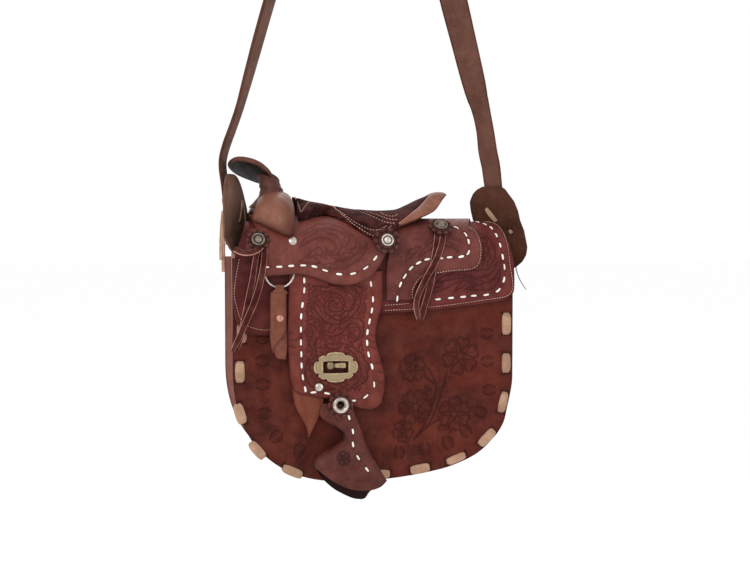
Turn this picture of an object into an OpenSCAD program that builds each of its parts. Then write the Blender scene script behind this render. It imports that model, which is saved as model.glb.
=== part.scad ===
/* [Bag body] */
// Width of the front and back panels
body_w = 245; // [225:1:265]
// Height of the panels from the mouth down to the bottom edge
body_h = 190; // [175:1:205]
// Clear depth between the two panels
body_d = 70; // [62:1:78]
// Width of the rounded bottom corners
corner_w = 98; // [80:1:105]
// Height of the rounded bottom corners
corner_h = 100; // [80:1:110]
// Distance from the panel edge in to the gusset wall
seam_margin = 12; // [11:0.5:15]
// Thickness of the body leather
leather_t = 2.4; // [2:0.1:2.8]

/* [Edge lacing] */
// Number of lacing stitches round each panel
lace_count = 15; // [12:1:17]
// Width of the lacing
lace_w = 8; // [6:0.5:9]
// Thickness of the lacing
lace_t = 1.6; // [1.2:0.1:1.8]
// Distance from the panel edge to the middle of the lacing
lace_inset = 6; // [5:0.5:6.5]
// Share of each stitch that shows on the outer face
lace_show_share = 0.58; // [0.5:0.01:0.62]

/* [Saddle flap] */
// Height of the flap's ridge above the mouth
ridge_h = 34; // [30:1:38]
// Height at which the flap starts to arch over the mouth
spring_h = 8; // [6:1:10]
// Drop of the flap below the mouth on its deeper side
skirt_drop = 62; // [55:1:70]
// Drop of the skirt on the back panel
back_drop = 60; // [50:1:70]
// Width of the flap along its lower edge
skirt_w = 239; // [230:1:240]
// Width of the flap along its ridge
ridge_w = 210; // [200:1:214]
// Thickness of the two jockey leathers
jockey_t = 2.4; // [2:0.1:2.6]

/* [Saddle seat] */
// Place of the horn's middle, left of the centre
horn_x = 99; // [96:0.5:100]
// Diameter of the horn's cap
cap_dia = 40; // [37:1:41]
// Thickness of the horn's cap at its edge
cap_t = 4; // [3:0.5:5]
// Height of the cap's middle above the mouth
cap_h = 81; // [79:1:83]
// Tilt of the horn's cap to the right, in degrees
cap_tilt = 20; // [14:1:24]
// Tilt of the horn's cap to the back, in degrees
cap_lean = 18; // [10:1:22]
// Rise of the swell over the ridge
swell_rise = 17; // [15:0.5:18]
// Height of the cantle above the mouth
cantle_h = 62; // [59:1:66]
// Width of the cantle from wing to wing
cantle_w = 78; // [74:1:82]
// Thickness of the seat pad
seat_t = 5; // [4:0.5:6]

/* [Fender and stirrup] */
// Width of the fender
fender_w = 82; // [78:1:84]
// Height of the fender from its top to its lower edge
fender_h = 119; // [114:1:124]
// Thickness of the fender leather
fender_t = 2.4; // [2:0.1:2.6]
// Depth of the fold line below the mouth
crease_drop = 62; // [59:1:65]
// Width of the stirrup cover
hood_w = 62; // [56:1:66]
// Height of the stirrup cover
hood_h = 75; // [70:1:80]
// Depth of the stirrup cover, front to back
hood_d = 24; // [20:1:27]

/* [Turn lock] */
// Width of the lock's slotted plate
plate_w = 38; // [36:0.5:41]
// Height of the lock's slotted plate
plate_h = 26; // [24:0.5:28]
// Width of the slot
slot_w = 21.4; // [20:0.2:23]
// Height of the slot
slot_h = 9.8; // [9.6:0.1:11]
// Length of the turning bar
bar_w = 12.6; // [11.5:0.1:14]
// Height of the turning bar
bar_h = 4; // [3.4:0.1:4.2]

/* [Conchos and rivets] */
// Diameter of the leather rosettes
rosette_dia = 19; // [17:0.5:21]
// Diameter of the metal conchos
concho_dia = 12; // [10:0.5:14]
// Diameter of the rivet heads
rivet_dia = 7.4; // [6:0.2:8.4]
// Outer diameter of the cinch ring
ring_dia = 26; // [24:0.5:28]
// Thickness of the cinch ring's wire
wire_t = 1.7; // [1.4:0.1:1.8]
// Width of the billet that hangs from the ring
billet_w = 14; // [12:0.5:14.5]
// Length of the billet
billet_l = 62; // [55:1:68]

/* [Shoulder strap] */
// Height of the strap's top above the mouth of the bag
strap_drop = 480; // [440:5:520]
// Width of the strap on the shoulder
strap_w = 24; // [20:1:26]
// Width of the strap at its ends
strap_end_w = 15; // [13:0.5:16]
// Thickness of the strap
strap_t = 2.6; // [2.2:0.1:3]
// Height of the ears that carry the strap
ear_h = 64; // [60:1:68]
// Width of each leather tie string
string_w = 5; // [4:0.5:6]

/* [Hidden] */

// Clearance between two leathers that lie on each other
lie_gap = 0.3;
// Thickness of the strings, the ring's keeper, the gusset's flange, the back skirt and the tongue
string_t = 1.4;
keeper_t = 0.5;
flange_t = 2;
skirt_t = 2.4;
tongue_t = 2;
// Thickness of a pad's edge and of the rosettes, and the keeper's clearance on its ring
pad_edge_t = 1.2;
rosette_t = 1.8;
keeper_gap = 0.4;
billet_t = 0.9;
// Clearance under small pieces that lie on leather
spot_gap = 0.2;
// Overrun of every cut
over = 1;
// Height of the panels' straight top edge above the mouth line
top_lip = 3;
// Roundness of the body's bottom corners, 2 being an ellipse
corner_power = 2.3;
// Points along one rounded corner
corner_steps = 18;

body_half = body_w / 2;
depth_half = body_d / 2;
panel_out = depth_half + leather_t;
gusset_half = depth_half - lie_gap;
// Half depth and rise of the arch that the flap's underside follows
arch_a = panel_out + lace_t + lie_gap + leather_t / 4;
arch_b = ridge_h - leather_t - spring_h;
// Length over the arch from front to back
arch_len = PI * (arch_a + arch_b) / 2;
// Faces of the layers in front of the arch, counted out from the skirt's underside
skirt_out = leather_t;
band_in = skirt_out + lie_gap;
band_out = band_in + jockey_t;
jockey_in = band_in + fender_t + 2 * lie_gap;
jockey_out = jockey_in + jockey_t;
fender_in = band_in;
fender_out = fender_in + fender_t;
// The ring lies over the fender's edge; on the front the jockey stands out to clear it and its keeper
ring_off = fender_out + spot_gap + wire_t / 2;
lift_most = ring_off + wire_t / 2 + keeper_gap + keeper_t + spot_gap - jockey_in;

function mix(a, b, t) = a + (b - a) * t;
function clamp(v, low, high) = min(max(v, low), high);
function ease(t) = let (c = clamp(t, 0, 1)) c * c * (3 - 2 * c);
function flat(rows) = [for (row = rows) for (p = row) p];
function unit(v) = v / norm(v);

// Slope of a table of [place, value] rows at row i
function slope(table, i) =
    let (a = max(i - 1, 0), b = min(i + 1, len(table) - 1))
    (table[b][1] - table[a][1]) / (table[b][0] - table[a][0]);

// Smooth value between the rows of a table at place u
function profile(table, u) =
    let (last = len(table) - 1, c = clamp(u, table[0][0], table[last][0]))
    let (i = min(max([for (k = [0:last - 1]) if (c >= table[k][0]) k]), last - 1))
    let (h = table[i + 1][0] - table[i][0], t = (c - table[i][0]) / h)
    let (a = table[i][1], b = table[i + 1][1])
    mix(a, b, ease(t)) + h * slope(table, i) * t * (1 - t) * (1 - t)
        - h * slope(table, i + 1) * t * t * (1 - t);

// Point between b and c of a smooth curve through a, b, c and d
function bend(a, b, c, d, t) =
    (b * 2 + (c - a) * t + (a * 2 - b * 5 + c * 4 - d) * t * t
        + (b * 3 - a - c * 3 + d) * t * t * t) / 2;

// Closed smooth curve through a list of points
function loop_curve(pts, steps) =
    let (n = len(pts))
    [for (i = [0:n - 1]) for (k = [0:steps - 1])
        bend(pts[(i + n - 1) % n], pts[i], pts[(i + 1) % n], pts[(i + 2) % n], k / steps)];

// Open smooth curve through a list of points
function open_curve(pts, steps) =
    let (n = len(pts))
    concat([for (i = [0:n - 2]) for (k = [0:steps - 1])
        bend(pts[max(i - 1, 0)], pts[i], pts[i + 1], pts[min(i + 2, n - 1)], k / steps)],
        [pts[n - 1]]);

// Points of a table of shares, scaled to a width and a height
function scaled(shares, w, h) = [for (p = shares) [p[0] * w, p[1] * h]];

// Closed solid between an outer and an inner grid of points
module shell(outer, inner) {
    rows = len(outer);
    cols = len(outer[0]);
    half = rows * cols;
    function id(i, j, k) = k * half + i * cols + j;
    function quad(a, b, c, d) = [[a, b, c], [a, c, d]];
    faces = concat(
        [for (i = [0:rows - 2]) for (j = [0:cols - 2])
            for (f = quad(id(i, j, 0), id(i + 1, j, 0), id(i + 1, j + 1, 0), id(i, j + 1, 0))) f],
        [for (i = [0:rows - 2]) for (j = [0:cols - 2])
            for (f = quad(id(i, j, 1), id(i, j + 1, 1), id(i + 1, j + 1, 1), id(i + 1, j, 1))) f],
        [for (i = [0:rows - 2])
            for (f = quad(id(i, 0, 0), id(i, 0, 1), id(i + 1, 0, 1), id(i + 1, 0, 0))) f],
        [for (i = [0:rows - 2])
            for (f = quad(id(i, cols - 1, 1), id(i, cols - 1, 0), id(i + 1, cols - 1, 0),
                id(i + 1, cols - 1, 1))) f],
        [for (j = [0:cols - 2])
            for (f = quad(id(0, j, 1), id(0, j, 0), id(0, j + 1, 0), id(0, j + 1, 1))) f],
        [for (j = [0:cols - 2])
            for (f = quad(id(rows - 1, j, 0), id(rows - 1, j, 1), id(rows - 1, j + 1, 1),
                id(rows - 1, j + 1, 0))) f]);
    polyhedron(points = concat(flat(outer), flat(inner)), faces = faces, convexity = 6);
}

// Closed solid through a list of rings of points, with flat ends
module skin(rings) {
    rows = len(rings);
    n = len(rings[0]);
    function id(i, j) = i * n + j % n;
    faces = concat(
        [for (i = [0:rows - 2]) for (j = [0:n - 1])
            for (f = [[id(i, j), id(i + 1, j), id(i + 1, j + 1)],
                [id(i, j), id(i + 1, j + 1), id(i, j + 1)]]) f],
        [for (j = [1:n - 2]) [id(0, 0), id(0, j), id(0, j + 1)]],
        [for (j = [1:n - 2]) [id(rows - 1, 0), id(rows - 1, j + 1), id(rows - 1, j)]]);
    polyhedron(points = flat(rings), faces = faces, convexity = 6);
}

// Flat strip that follows a route, width w and thickness t, side and up giving its turn
module strip(route, sides, widths, t) {
    n = len(route);
    rings = [for (i = [0:n - 1])
        let (way = unit(route[min(i + 1, n - 1)] - route[max(i - 1, 0)]))
        let (out = unit(cross(way, sides[i])), across = unit(cross(out, way)))
        let (a = across * widths[i] / 2, b = out * t / 2)
        [route[i] - a - b, route[i] + a - b, route[i] + a + b, route[i] - a + b]];
    skin(rings);
}

// Moves a piece from the bag's own height to its place under the strap
module hung() {
    translate([0, 0, -strap_drop]) children();
}

// Stands a flat outline upright, its outer face at depth front, thickness t behind it
module upright(front, t) {
    translate([0, -front + t, 0]) rotate([90, 0, 0]) linear_extrude(t) children();
}

// Outline of a panel, drawn in by margin m, as points from the left mouth corner round to the right
function panel_corner(m, side) =
    [for (k = [0:corner_steps])
        let (a = 90 * k / corner_steps)
        let (cx = body_half - corner_w, rx = corner_w - m, rz = corner_h - m)
        [side * (cx + rx * pow(max(cos(a), 0), 2 / corner_power)),
            corner_h - body_h - rz * pow(max(sin(a), 0), 2 / corner_power)]];
function panel_edge(m) =
    let (right = panel_corner(m, 1), left = panel_corner(m, -1), n = len(left))
    concat([[-body_half + m, top_lip]], left, [for (k = [n - 1:-1:0]) right[k]],
        [[body_half - m, top_lip]]);

// Length along an edge up to its point i, and the point at a given length
function edge_sums(pts, i = 0, sum = 0) =
    i >= len(pts) - 1 ? [sum] : concat([sum], edge_sums(pts, i + 1, sum + norm(pts[i + 1] - pts[i])));
function edge_at(pts, sums, d) =
    let (i = min(max([for (k = [0:len(pts) - 2]) if (d >= sums[k]) k]), len(pts) - 2))
    let (t = (d - sums[i]) / (sums[i + 1] - sums[i]))
    mix(pts[i], pts[i + 1], t);

lace_edge = panel_edge(lace_inset);
lace_sums = edge_sums(lace_edge);
lace_total = lace_sums[len(lace_sums) - 1];
lace_pitch = lace_total / (lace_count + 0.4);
lace_start = (lace_total - lace_pitch * (lace_count - 1 + lace_show_share)) / 2;
// Length of a lacing slot across the lace, and its opening along the edge
slot_across = lace_w + 2 * lie_gap;
slot_along = 3.3 * lace_t;
// Length over which the lace dives through its slot
dive = lace_t * 1.6;

// Direction along the lacing line at length d
function lace_way(d) = unit(edge_at(lace_edge, lace_sums, d + 1) - edge_at(lace_edge, lace_sums, d - 1));
// Ends of every visible stitch
lace_holes = [for (k = [0:lace_count - 1])
    for (e = [0, lace_show_share]) lace_start + (k + e) * lace_pitch];

module lace_slots(front, t) {
    for (d = lace_holes) {
        at = edge_at(lace_edge, lace_sums, d);
        way = lace_way(d);
        translate([at[0], -front + t / 2, at[1]])
            rotate([0, -atan2(way[1], way[0]), 0])
                cube([slot_along, t + over, slot_across], center = true);
    }
}

module panel_blank() {
    upright(panel_out, leather_t) polygon(panel_edge(0));
}

module front_panel() {
    color([0.36, 0.19, 0.13]) hung() difference() {
        panel_blank();
        lace_slots(panel_out, leather_t);
        translate([lock_x, -depth_half, lock_z]) rotate([90, 0, 0])
            cylinder(r = post_r + lie_gap, h = 3 * leather_t, center = true, $fn = 32);
    }
}

module back_panel() {
    color([0.36, 0.19, 0.13]) hung() mirror([0, 1, 0]) difference() {
        panel_blank();
        lace_slots(panel_out, leather_t);
    }
}

// The gusset is a channel: a wall round the bottom and sides with a flange along each panel
module gusset() {
    color([0.33, 0.18, 0.13]) hung() difference() {
        union() {
            for (s = [0, 1]) mirror([0, s, 0])
                upright(depth_half, flange_t) difference() {
                    polygon(panel_edge(0));
                    wall_inside();
                }
            upright(gusset_half, 2 * gusset_half) difference() {
                polygon(panel_edge(seam_margin));
                wall_inside();
            }
        }
        for (s = [0, 1]) mirror([0, s, 0]) lace_slots(depth_half, flange_t);
    }
}
module wall_inside() {
    polygon(panel_edge(seam_margin + leather_t));
    translate([-body_half, top_lip - over / 100]) square([body_w, over]);
}

// Route of the lacing: over each stitch, through its slot, and behind the flange to the next
lace_outer = panel_out + lace_t / 2 + lie_gap / 3;
lace_inner = depth_half - flange_t - lace_t / 2 - lie_gap / 3;
lace_step_share = 0.25;
function lace_point(d, out) = let (p = edge_at(lace_edge, lace_sums, d)) [p[0], -out, p[1]];
lace_route = [for (k = [0:lace_count - 1])
    let (a = lace_start + k * lace_pitch, b = a + lace_show_share * lace_pitch, c = a + lace_pitch)
    for (q = concat(
        [[a, lace_inner], [a, lace_outer - dive / 2], [a + dive, lace_outer]],
        [[mix(a, b, 0.5), lace_outer]],
        [[b - dive, lace_outer], [b, lace_outer - dive / 2], [b, lace_inner + dive / 2]],
        k < lace_count - 1 ? [[b + dive, lace_inner], [c - dive, lace_inner]] : [[b, lace_inner]])) q];

module lacing() {
    route = [for (q = lace_route) lace_point(q[0], q[1])];
    n = len(lace_route);
    rings = [for (i = [0:n - 1])
        let (d = lace_route[i][0], w = lace_way(d), across = [-w[1], 0, w[0]])
        let (a = max(i - 1, 0), b = min(i + 1, n - 1))
        let (u = route[b] - route[a], flow = u - across * (u * across), out = unit(cross(flow, across)))
        let (h = across * lace_w / 2, t = out * lace_t / 2)
        [route[i] - h - t, route[i] + h - t, route[i] + h + t, route[i] - h + t]];
    skin(rings);
}

module front_lacing() {
    color([0.66, 0.53, 0.44]) hung() lacing();
}

module back_lacing() {
    color([0.66, 0.53, 0.44]) hung() mirror([0, 1, 0]) mirror([1, 0, 0]) lacing();
}

// Point on the arch: s is the height, or past the spring line the length over the arch
function lift(s) = lift_most * (1 - ease((s - spring_h) / arch_len * 4));
function arch_point(x, s, layer) =
    let (t = (s - spring_h) / arch_len * 180, off = layer >= jockey_in ? layer + lift(s) : layer)
    s <= spring_h ? [x, -arch_a - off, s]
        : t >= 180 ? [x, arch_a + off, spring_h - (s - spring_h - arch_len)]
        : [x, -(arch_a + off) * cos(t), spring_h + (arch_b + off) * sin(t)];
// Half width of the flap at a place over the arch: widest low down, narrow over the ridge
skirt_half_shares = [[-1, 0.985], [-0.6, 1], [-0.3, 1], [-0.05, 0.98], [0.1, 0.975]];
function skirt_half(s) =
    s <= spring_h ? skirt_w / 2 * profile(skirt_half_shares, s / skirt_drop)
        : mix(skirt_w / 2 * 0.975, ridge_w / 2, ease((s - spring_h) / (arch_len / 2)))
            - ridge_w * 0.045 * ease((s - spring_h) / (arch_len / 2) - 1);
// Depth of the skirt's lower edge from its left end to its right end, as shares of the drop
skirt_edge_shares = [[0, 0.72], [0.02, 0.88], [0.05, 0.97], [0.1, 1], [0.22, 1], [0.35, 0.86],
    [0.5, 0.75], [0.66, 0.7], [0.8, 0.65], [0.92, 0.58], [0.97, 0.52], [0.99, 0.42], [1, 0.3]];
skirt_cols = 30;
// Rows below the spring line, and turns of the arch from front to back, the same for every layer
flat_rows = 3;
arch_turns = 15;
// Place over the arch where the flap folds on the back
fold_s = spring_h + arch_len;
fold_gap = 0.6;

// Places of a column's rows from s0 up to turn number back; the layers share the arch's turns
function arch_turn(k) = spring_h + k * arch_len / arch_turns;
function row_places(s0, back) =
    let (m = len([for (k = [0:back]) if (arch_turn(k) <= s0 + 2 * lie_gap) k]), n = flat_rows + m)
    concat([for (i = [0:n - 1]) mix(s0, arch_turn(m), i / n)], [for (k = [m:back]) arch_turn(k)]);

function skirt_grid(off) =
    [for (i = [0:skirt_cols])
        let (u = i / skirt_cols, low = -skirt_drop * profile(skirt_edge_shares, u))
        [for (s = row_places(low, arch_turns)) arch_point(skirt_half(s) * (2 * u - 1), s, off)]];

module flap_skirt() {
    color([0.38, 0.22, 0.19]) hung() shell(skirt_grid(skirt_out), skirt_grid(0));
}

module back_skirt() {
    drop = back_drop + spring_h;
    edge = open_curve([for (p = [[-0.5, 0], [-0.5, -0.8], [-0.46, -0.97], [-0.36, -1], [0, -1], [0.36, -1],
        [0.46, -0.97], [0.5, -0.8], [0.5, 0]])
        [p[0] * ridge_w * 0.91, spring_h - fold_gap + p[1] * drop]], 3);
    color([0.38, 0.22, 0.19]) hung() mirror([0, 1, 0]) upright(arch_a + skirt_out, skirt_t) polygon(edge);
    color([0.38, 0.22, 0.19]) hung() for (x = [-1, 0, 1])
        translate([x * ridge_w / 3, panel_out, -back_drop * 0.75]) rotate([-90, 0, 0])
            cylinder(d = rivet_dia * 0.8, h = arch_a - panel_out + skirt_out - skirt_t, $fn = 32);
}

// Turn lock
lock_x = -36.3;
lock_z = -89.3;
post_r = 1.8;
plate_t = 1.2;
bar_t = 3;
// The bar sits high in the slot, so that the plate can lift off it as the flap swings up
bar_rise = (slot_h - bar_h) / 2 - 1.2;
bar_z = lock_z + bar_rise;
plate_in = fender_out;
lock_plate_front = arch_a + plate_in + plate_t;
bar_back = lock_plate_front + lie_gap * 1.6;

module lock_base() {
    color([0.5, 0.42, 0.3]) hung() {
        translate([lock_x, -panel_out, bar_z]) rotate([90, 0, 0]) {
            cylinder(d = bar_w * 1.1, h = plate_t, $fn = 48);
            cylinder(r1 = post_r * 1.9, r2 = post_r * 1.3, h = arch_a - panel_out, $fn = 48);
        }
        for (s = [-1, 1]) translate([lock_x + s * bar_w * 0.45, -panel_out, bar_z])
            rotate([90, 0, 0]) cylinder(r = post_r, h = plate_t * 1.4, $fn = 32);
    }
}

module lock_backing() {
    color([0.6, 0.55, 0.45]) hung() translate([lock_x, -depth_half, bar_z]) rotate([-90, 0, 0])
        difference() {
            cylinder(d = bar_w * 1.3, h = plate_t, $fn = 48);
            translate([0, 0, -over]) cylinder(r = post_r, h = plate_t + 2 * over, $fn = 48);
        }
}

module lock_toggle() {
    color([0.55, 0.47, 0.33]) hung() translate([lock_x, 0, bar_z]) rotate([90, 0, 0]) {
        translate([0, 0, arch_a + lie_gap]) cylinder(r = post_r, h = bar_back - arch_a, $fn = 48);
        translate([0, 0, bar_back]) linear_extrude(bar_t) hull()
            for (s = [-1, 1]) translate([s * (bar_w - bar_h) / 2, 0]) circle(d = bar_h, $fn = 32);
    }
}

// Scalloped oval outline of the lock's plate
module plate_shape(w, h) {
    polygon(loop_curve([for (a = [0:15:345])
        let (r = 1 + 0.045 * cos(8 * a))
        [w / 2.09 * r * cos(a), h / 2.09 * r * sin(a)]], 3));
}

module lock_plate() {
    color([0.6, 0.5, 0.36]) hung() translate([lock_x, -arch_a - plate_in, lock_z]) rotate([90, 0, 0])
        linear_extrude(plate_t) difference() {
            plate_shape(plate_w, plate_h);
            square([slot_w, slot_h], center = true);
        }
}

module lock_plate_backing() {
    color([0.6, 0.5, 0.36]) hung() translate([lock_x, -arch_a - fender_in + plate_t, lock_z])
        rotate([90, 0, 0]) linear_extrude(plate_t) difference() {
            plate_shape(plate_w * 0.9, plate_h * 0.92);
            lock_leather_slot();
        }
}

// Opening in the leather behind the plate, which reaches lower than the plate's slot
module lock_leather_slot() {
    drop = bar_back + bar_t - arch_a - fender_in;
    translate([-slot_w / 2 - lie_gap, -slot_h / 2 - drop / 2])
        square([slot_w + 2 * lie_gap, slot_h + drop / 2]);
}

// Fender: the hanging leather, folded at its crease
fender_left = -76;
fender_reach = 126;
fender_top_z = fender_h - fender_reach;
fender_shares = [[0, 0], [0.005, -0.2], [0, -0.4], [0.01, -0.62], [0.05, -0.76], [0.12, -0.82],
    [0.2, -0.845], [0.34, -0.86], [0.5, -0.9], [0.62, -0.965], [0.75, -1], [0.9, -0.985], [0.985, -0.95],
    [1, -0.83], [0.995, -0.7], [0.955, -0.56], [0.925, -0.42], [0.955, -0.27], [0.99, -0.14], [1, 0]];
fold_z = -crease_drop;
fold_cut = 0.6;

function fender_outline() =
    [for (p = open_curve(scaled(fender_shares, fender_w, fender_h), 4)) p + [fender_left, fender_top_z]];

module fender_blank() {
    upright(arch_a + fender_out, fender_t) polygon(fender_outline());
}

module fender_side(below) {
    z = below ? fold_z - fold_cut / 2 - fender_h : fold_z + fold_cut / 2;
    translate([fender_left - fender_w / 2, -arch_a - fender_out - over, z])
        cube([2 * fender_w, fender_t + 2 * over, fender_h]);
}

module fender_top() {
    color([0.38, 0.17, 0.15]) hung() intersection() {
        fender_blank();
        fender_side(false);
    }
}

module fender() {
    color([0.38, 0.17, 0.15]) hung() difference() {
        intersection() {
            fender_blank();
            fender_side(true);
        }
        translate([lock_x, -arch_a - fender_in + over, lock_z]) rotate([90, 0, 0])
            linear_extrude(fender_t + 2 * over) lock_leather_slot();
        translate([tongue_x, 0, tongue_rivet_z]) rotate([90, 0, 0])
            cylinder(r = rivet_shaft_r, h = 2 * body_d, $fn = 32);
        translate([eye_x, 0, eye_z]) rotate([90, 0, 0])
            cylinder(r = eye_r, h = 2 * body_d, $fn = 48);
    }
}

// Lower tongue that hangs behind the fender's left corner
tongue_x = -50.5;
tongue_rivet_z = -106;
rivet_shaft_r = 1.2;
eye_x = -33;
eye_z = -121;
eye_r = 3.4;
tongue_back = arch_a + fender_in - lie_gap;

tongue_shares = [[-0.255, 0.0168], [-0.102, 0.0252], [0.068, 0.0168], [0.0612, -0.084],
    [-0.0136, -0.1848], [-0.0612, -0.2856], [-0.102, -0.378], [-0.1564, -0.3024],
    [-0.2176, -0.1848], [-0.255, -0.084]];
module fender_tongue() {
    shape = loop_curve(scaled(tongue_shares, fender_w, fender_h), 4);
    color([0.47, 0.28, 0.22]) hung() difference() {
        translate([tongue_x, 0, tongue_rivet_z]) upright(tongue_back, tongue_t) polygon(shape);
        translate([tongue_x, 0, tongue_rivet_z]) rotate([90, 0, 0])
            cylinder(r = rivet_shaft_r, h = 2 * body_d, $fn = 32);
    }
}

// Place over the arch of a point seen at height z on the layer at offset off
function seen_on(z, off) = z <= spring_h ? z
    : spring_h + asin(clamp((z - spring_h) / (arch_b + off), 0, 1)) / 180 * arch_len;
// Angle by which the arch's outer side leans up at place s
function lean(s, off) =
    let (t = (s - spring_h) / arch_len * 180)
    s <= spring_h ? 0 : atan2((arch_a + off) * sin(t), (arch_b + off) * cos(t));

// Lays a piece flat on the layer at offset off, where it is seen at x and z, its +Z outward
module on_layer(x, z, off) {
    s = seen_on(z, off);
    translate(arch_point(x, s, off)) rotate([90 - lean(s, off), 0, 0]) children();
}

// Leather that wraps over the arch between two ends, from an edge table to the back
module wrapped(x0, x1, edge, drop, rise, low, high, cols, back) {
    function grid(off) =
        [for (i = [0:cols])
            let (u = i / cols, z = profile(edge, u), s0 = seen_on(z < 0 ? z * drop : z * rise, off))
            [for (s = row_places(s0, back)) arch_point(mix(x0, x1, u), s, off)]];
    shell(grid(high), grid(low));
}

jockey_left = -105;
jockey_right = 13;
jockey_drop = 20;
jockey_shares = [[0, 0.7], [0.015, 0.1], [0.04, -0.3], [0.08, -0.58], [0.2, -0.56], [0.35, -0.53],
    [0.46, -0.72], [0.57, -0.95], [0.67, -1], [0.8, -0.86], [0.89, -0.45], [0.95, 0.08],
    [0.985, 0.5], [1, 0.9]];
module seat_jockey() {
    color([0.45, 0.25, 0.22]) hung()
        wrapped(jockey_left, jockey_right, jockey_shares, jockey_drop, ridge_h * 0.6, jockey_in, jockey_out,
            30, arch_turns - 1);
}

band_left = 14;
band_right = 92;
band_shares = [[0, -0.97], [0.05, -1], [0.2, -1], [0.235, -0.85], [0.27, -0.53], [0.36, -0.36], [0.6, -0.27],
    [0.86, -0.2], [0.95, -0.1], [0.985, 0.15], [1, 0.5]];
module rear_jockey() {
    color([0.34, 0.16, 0.15]) hung()
        wrapped(band_left, band_right, band_shares, skirt_drop * 0.53, ridge_h * 0.6, band_in, band_out,
            24, arch_turns - 1);
}

tree_left = -100;
tree_right = 12;
module saddle_tree() {
    color([0.6, 0.5, 0.36]) hung()
        wrapped(tree_left, tree_right, [[0, 0.45], [1, 0.45]], skirt_drop, ridge_h, band_in, band_out,
            4, arch_turns - 2);
}

// Padded solid over the arch: its rise along the saddle and its fall to both edges
module pad(x0, edge, rise, power, cols, rows, right_end) {
    base = pad_base;
    function s_at(u, v) =
        let (s0 = seen_on(profile(edge, u), base), s1 = spring_h * 2 + arch_len - s0) mix(s0, s1, v);
    function outer(u, v) =
        let (w = pow(max(1 - pow(abs(2 * v - 1), power), 0), 1 / 2))
        base + pad_edge_t + max(profile(rise, u) - pad_edge_t, 0) * w;
    function spot(i, j, low) =
        let (u = i / cols, v = j / rows, s = s_at(u, v))
        arch_point(mix(x0, right_end(s), u), s, low ? base : outer(u, v));
    shell([for (i = [0:cols]) [for (j = [0:rows]) spot(i, j, false)]],
        [for (i = [0:cols]) [for (j = [0:rows]) spot(i, j, true)]]);
}
// Underside of the pads; it stands clear of the flat facets between two turns of the arch
pad_base = jockey_out + 3 * lie_gap;

seat_left = -67;
seat_edge = [[0, ridge_h * 0.88], [0.14, ridge_h * 0.8], [0.25, ridge_h * 0.97], [0.43, ridge_h * 1.1],
    [0.6, ridge_h * 1.02], [0.775, ridge_h * 0.76], [0.89, ridge_h * 0.48], [1, ridge_h * 0.36]];
// The seat ends against the foot of the cantle
function seat_end(s) =
    let (u = min(abs((s - spring_h) / arch_len - 0.5) / cantle_reach, 1))
    cantle_line(u) - cantle_thick(u) * 0.9 - pad_edge_t;
module seat() {
    color([0.27, 0.13, 0.14]) hung()
        pad(seat_left, seat_edge,
            [[0, 3.2 * seat_t], [0.12, 2.3 * seat_t], [0.3, 1.5 * seat_t], [0.55, seat_t], [0.75, seat_t],
                [0.9, 1.5 * seat_t], [1, 2 * seat_t]],
            2.4, 28, 16, right_end = function(s) seat_end(s));
}

swell_left = -horn_x - 9;
swell_right = seat_left - 1;
module swell() {
    color([0.49, 0.3, 0.25]) hung()
        pad(swell_left, [[0, ridge_h * 0.84], [0.3, ridge_h * 0.76], [0.7, ridge_h * 0.68],
                [1, ridge_h * 0.72]],
            [[0, 0.25 * swell_rise], [0.12, 0.72 * swell_rise], [0.3, swell_rise], [0.6, 1.04 * swell_rise],
                [0.85, 0.85 * swell_rise], [1, 0.4 * swell_rise]],
            2.6, 14, 18, right_end = function(s) swell_right);
}

// Horn: a leather-wrapped neck under a round, slightly tilted cap
cap_x = -horn_x;
// Rings of the neck from the swell up: share of its height, place right of the cap's middle, half widths
neck_rings = [[0, 14, 13, 14], [0.3, 15, 11.5, 12.5], [0.6, 14, 10, 11], [0.85, 10, 9, 9.8],
    [1, 8, 8.6, 9.4]];
neck_low = ridge_h + 0.94 * swell_rise;
neck_turns = 20;
cap_under = cap_h - (cap_t / 2 + lie_gap) / (cos(cap_tilt) * cos(cap_lean));
// Height of the cap's underside at a place, measured from its middle
function cap_slope(x, y) = -tan(cap_tilt) * (x - cap_x) - tan(cap_lean) / cos(cap_tilt) * y;
module horn_post() {
    color([0.3, 0.15, 0.14]) hung() skin([for (r = neck_rings)
        [for (k = [0:neck_turns - 1])
            let (a = -360 * k / neck_turns, x = cap_x + r[1] + r[2] * cos(a), y = r[3] * sin(a))
            [x, y, mix(neck_low, cap_under, r[0]) + r[0] * cap_slope(x, y)]]]);
}

module horn_cap() {
    r = cap_dia / 2;
    color([0.36, 0.18, 0.15]) hung() translate([cap_x, 0, cap_h]) rotate([-cap_lean, cap_tilt, 0])
        rotate_extrude($fn = 64) polygon([for (p = concat([[0, -0.5], [0.93, -0.5]],
            [for (a = [-60:20:60]) [0.97 + 0.03 * cos(a), 0.5 * sin(a)]],
            [[0.9, 0.56], [0.6, 0.75], [0.3, 0.84], [0, 0.86]])) [p[0] * r, p[1] * cap_t]]);
}

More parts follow.
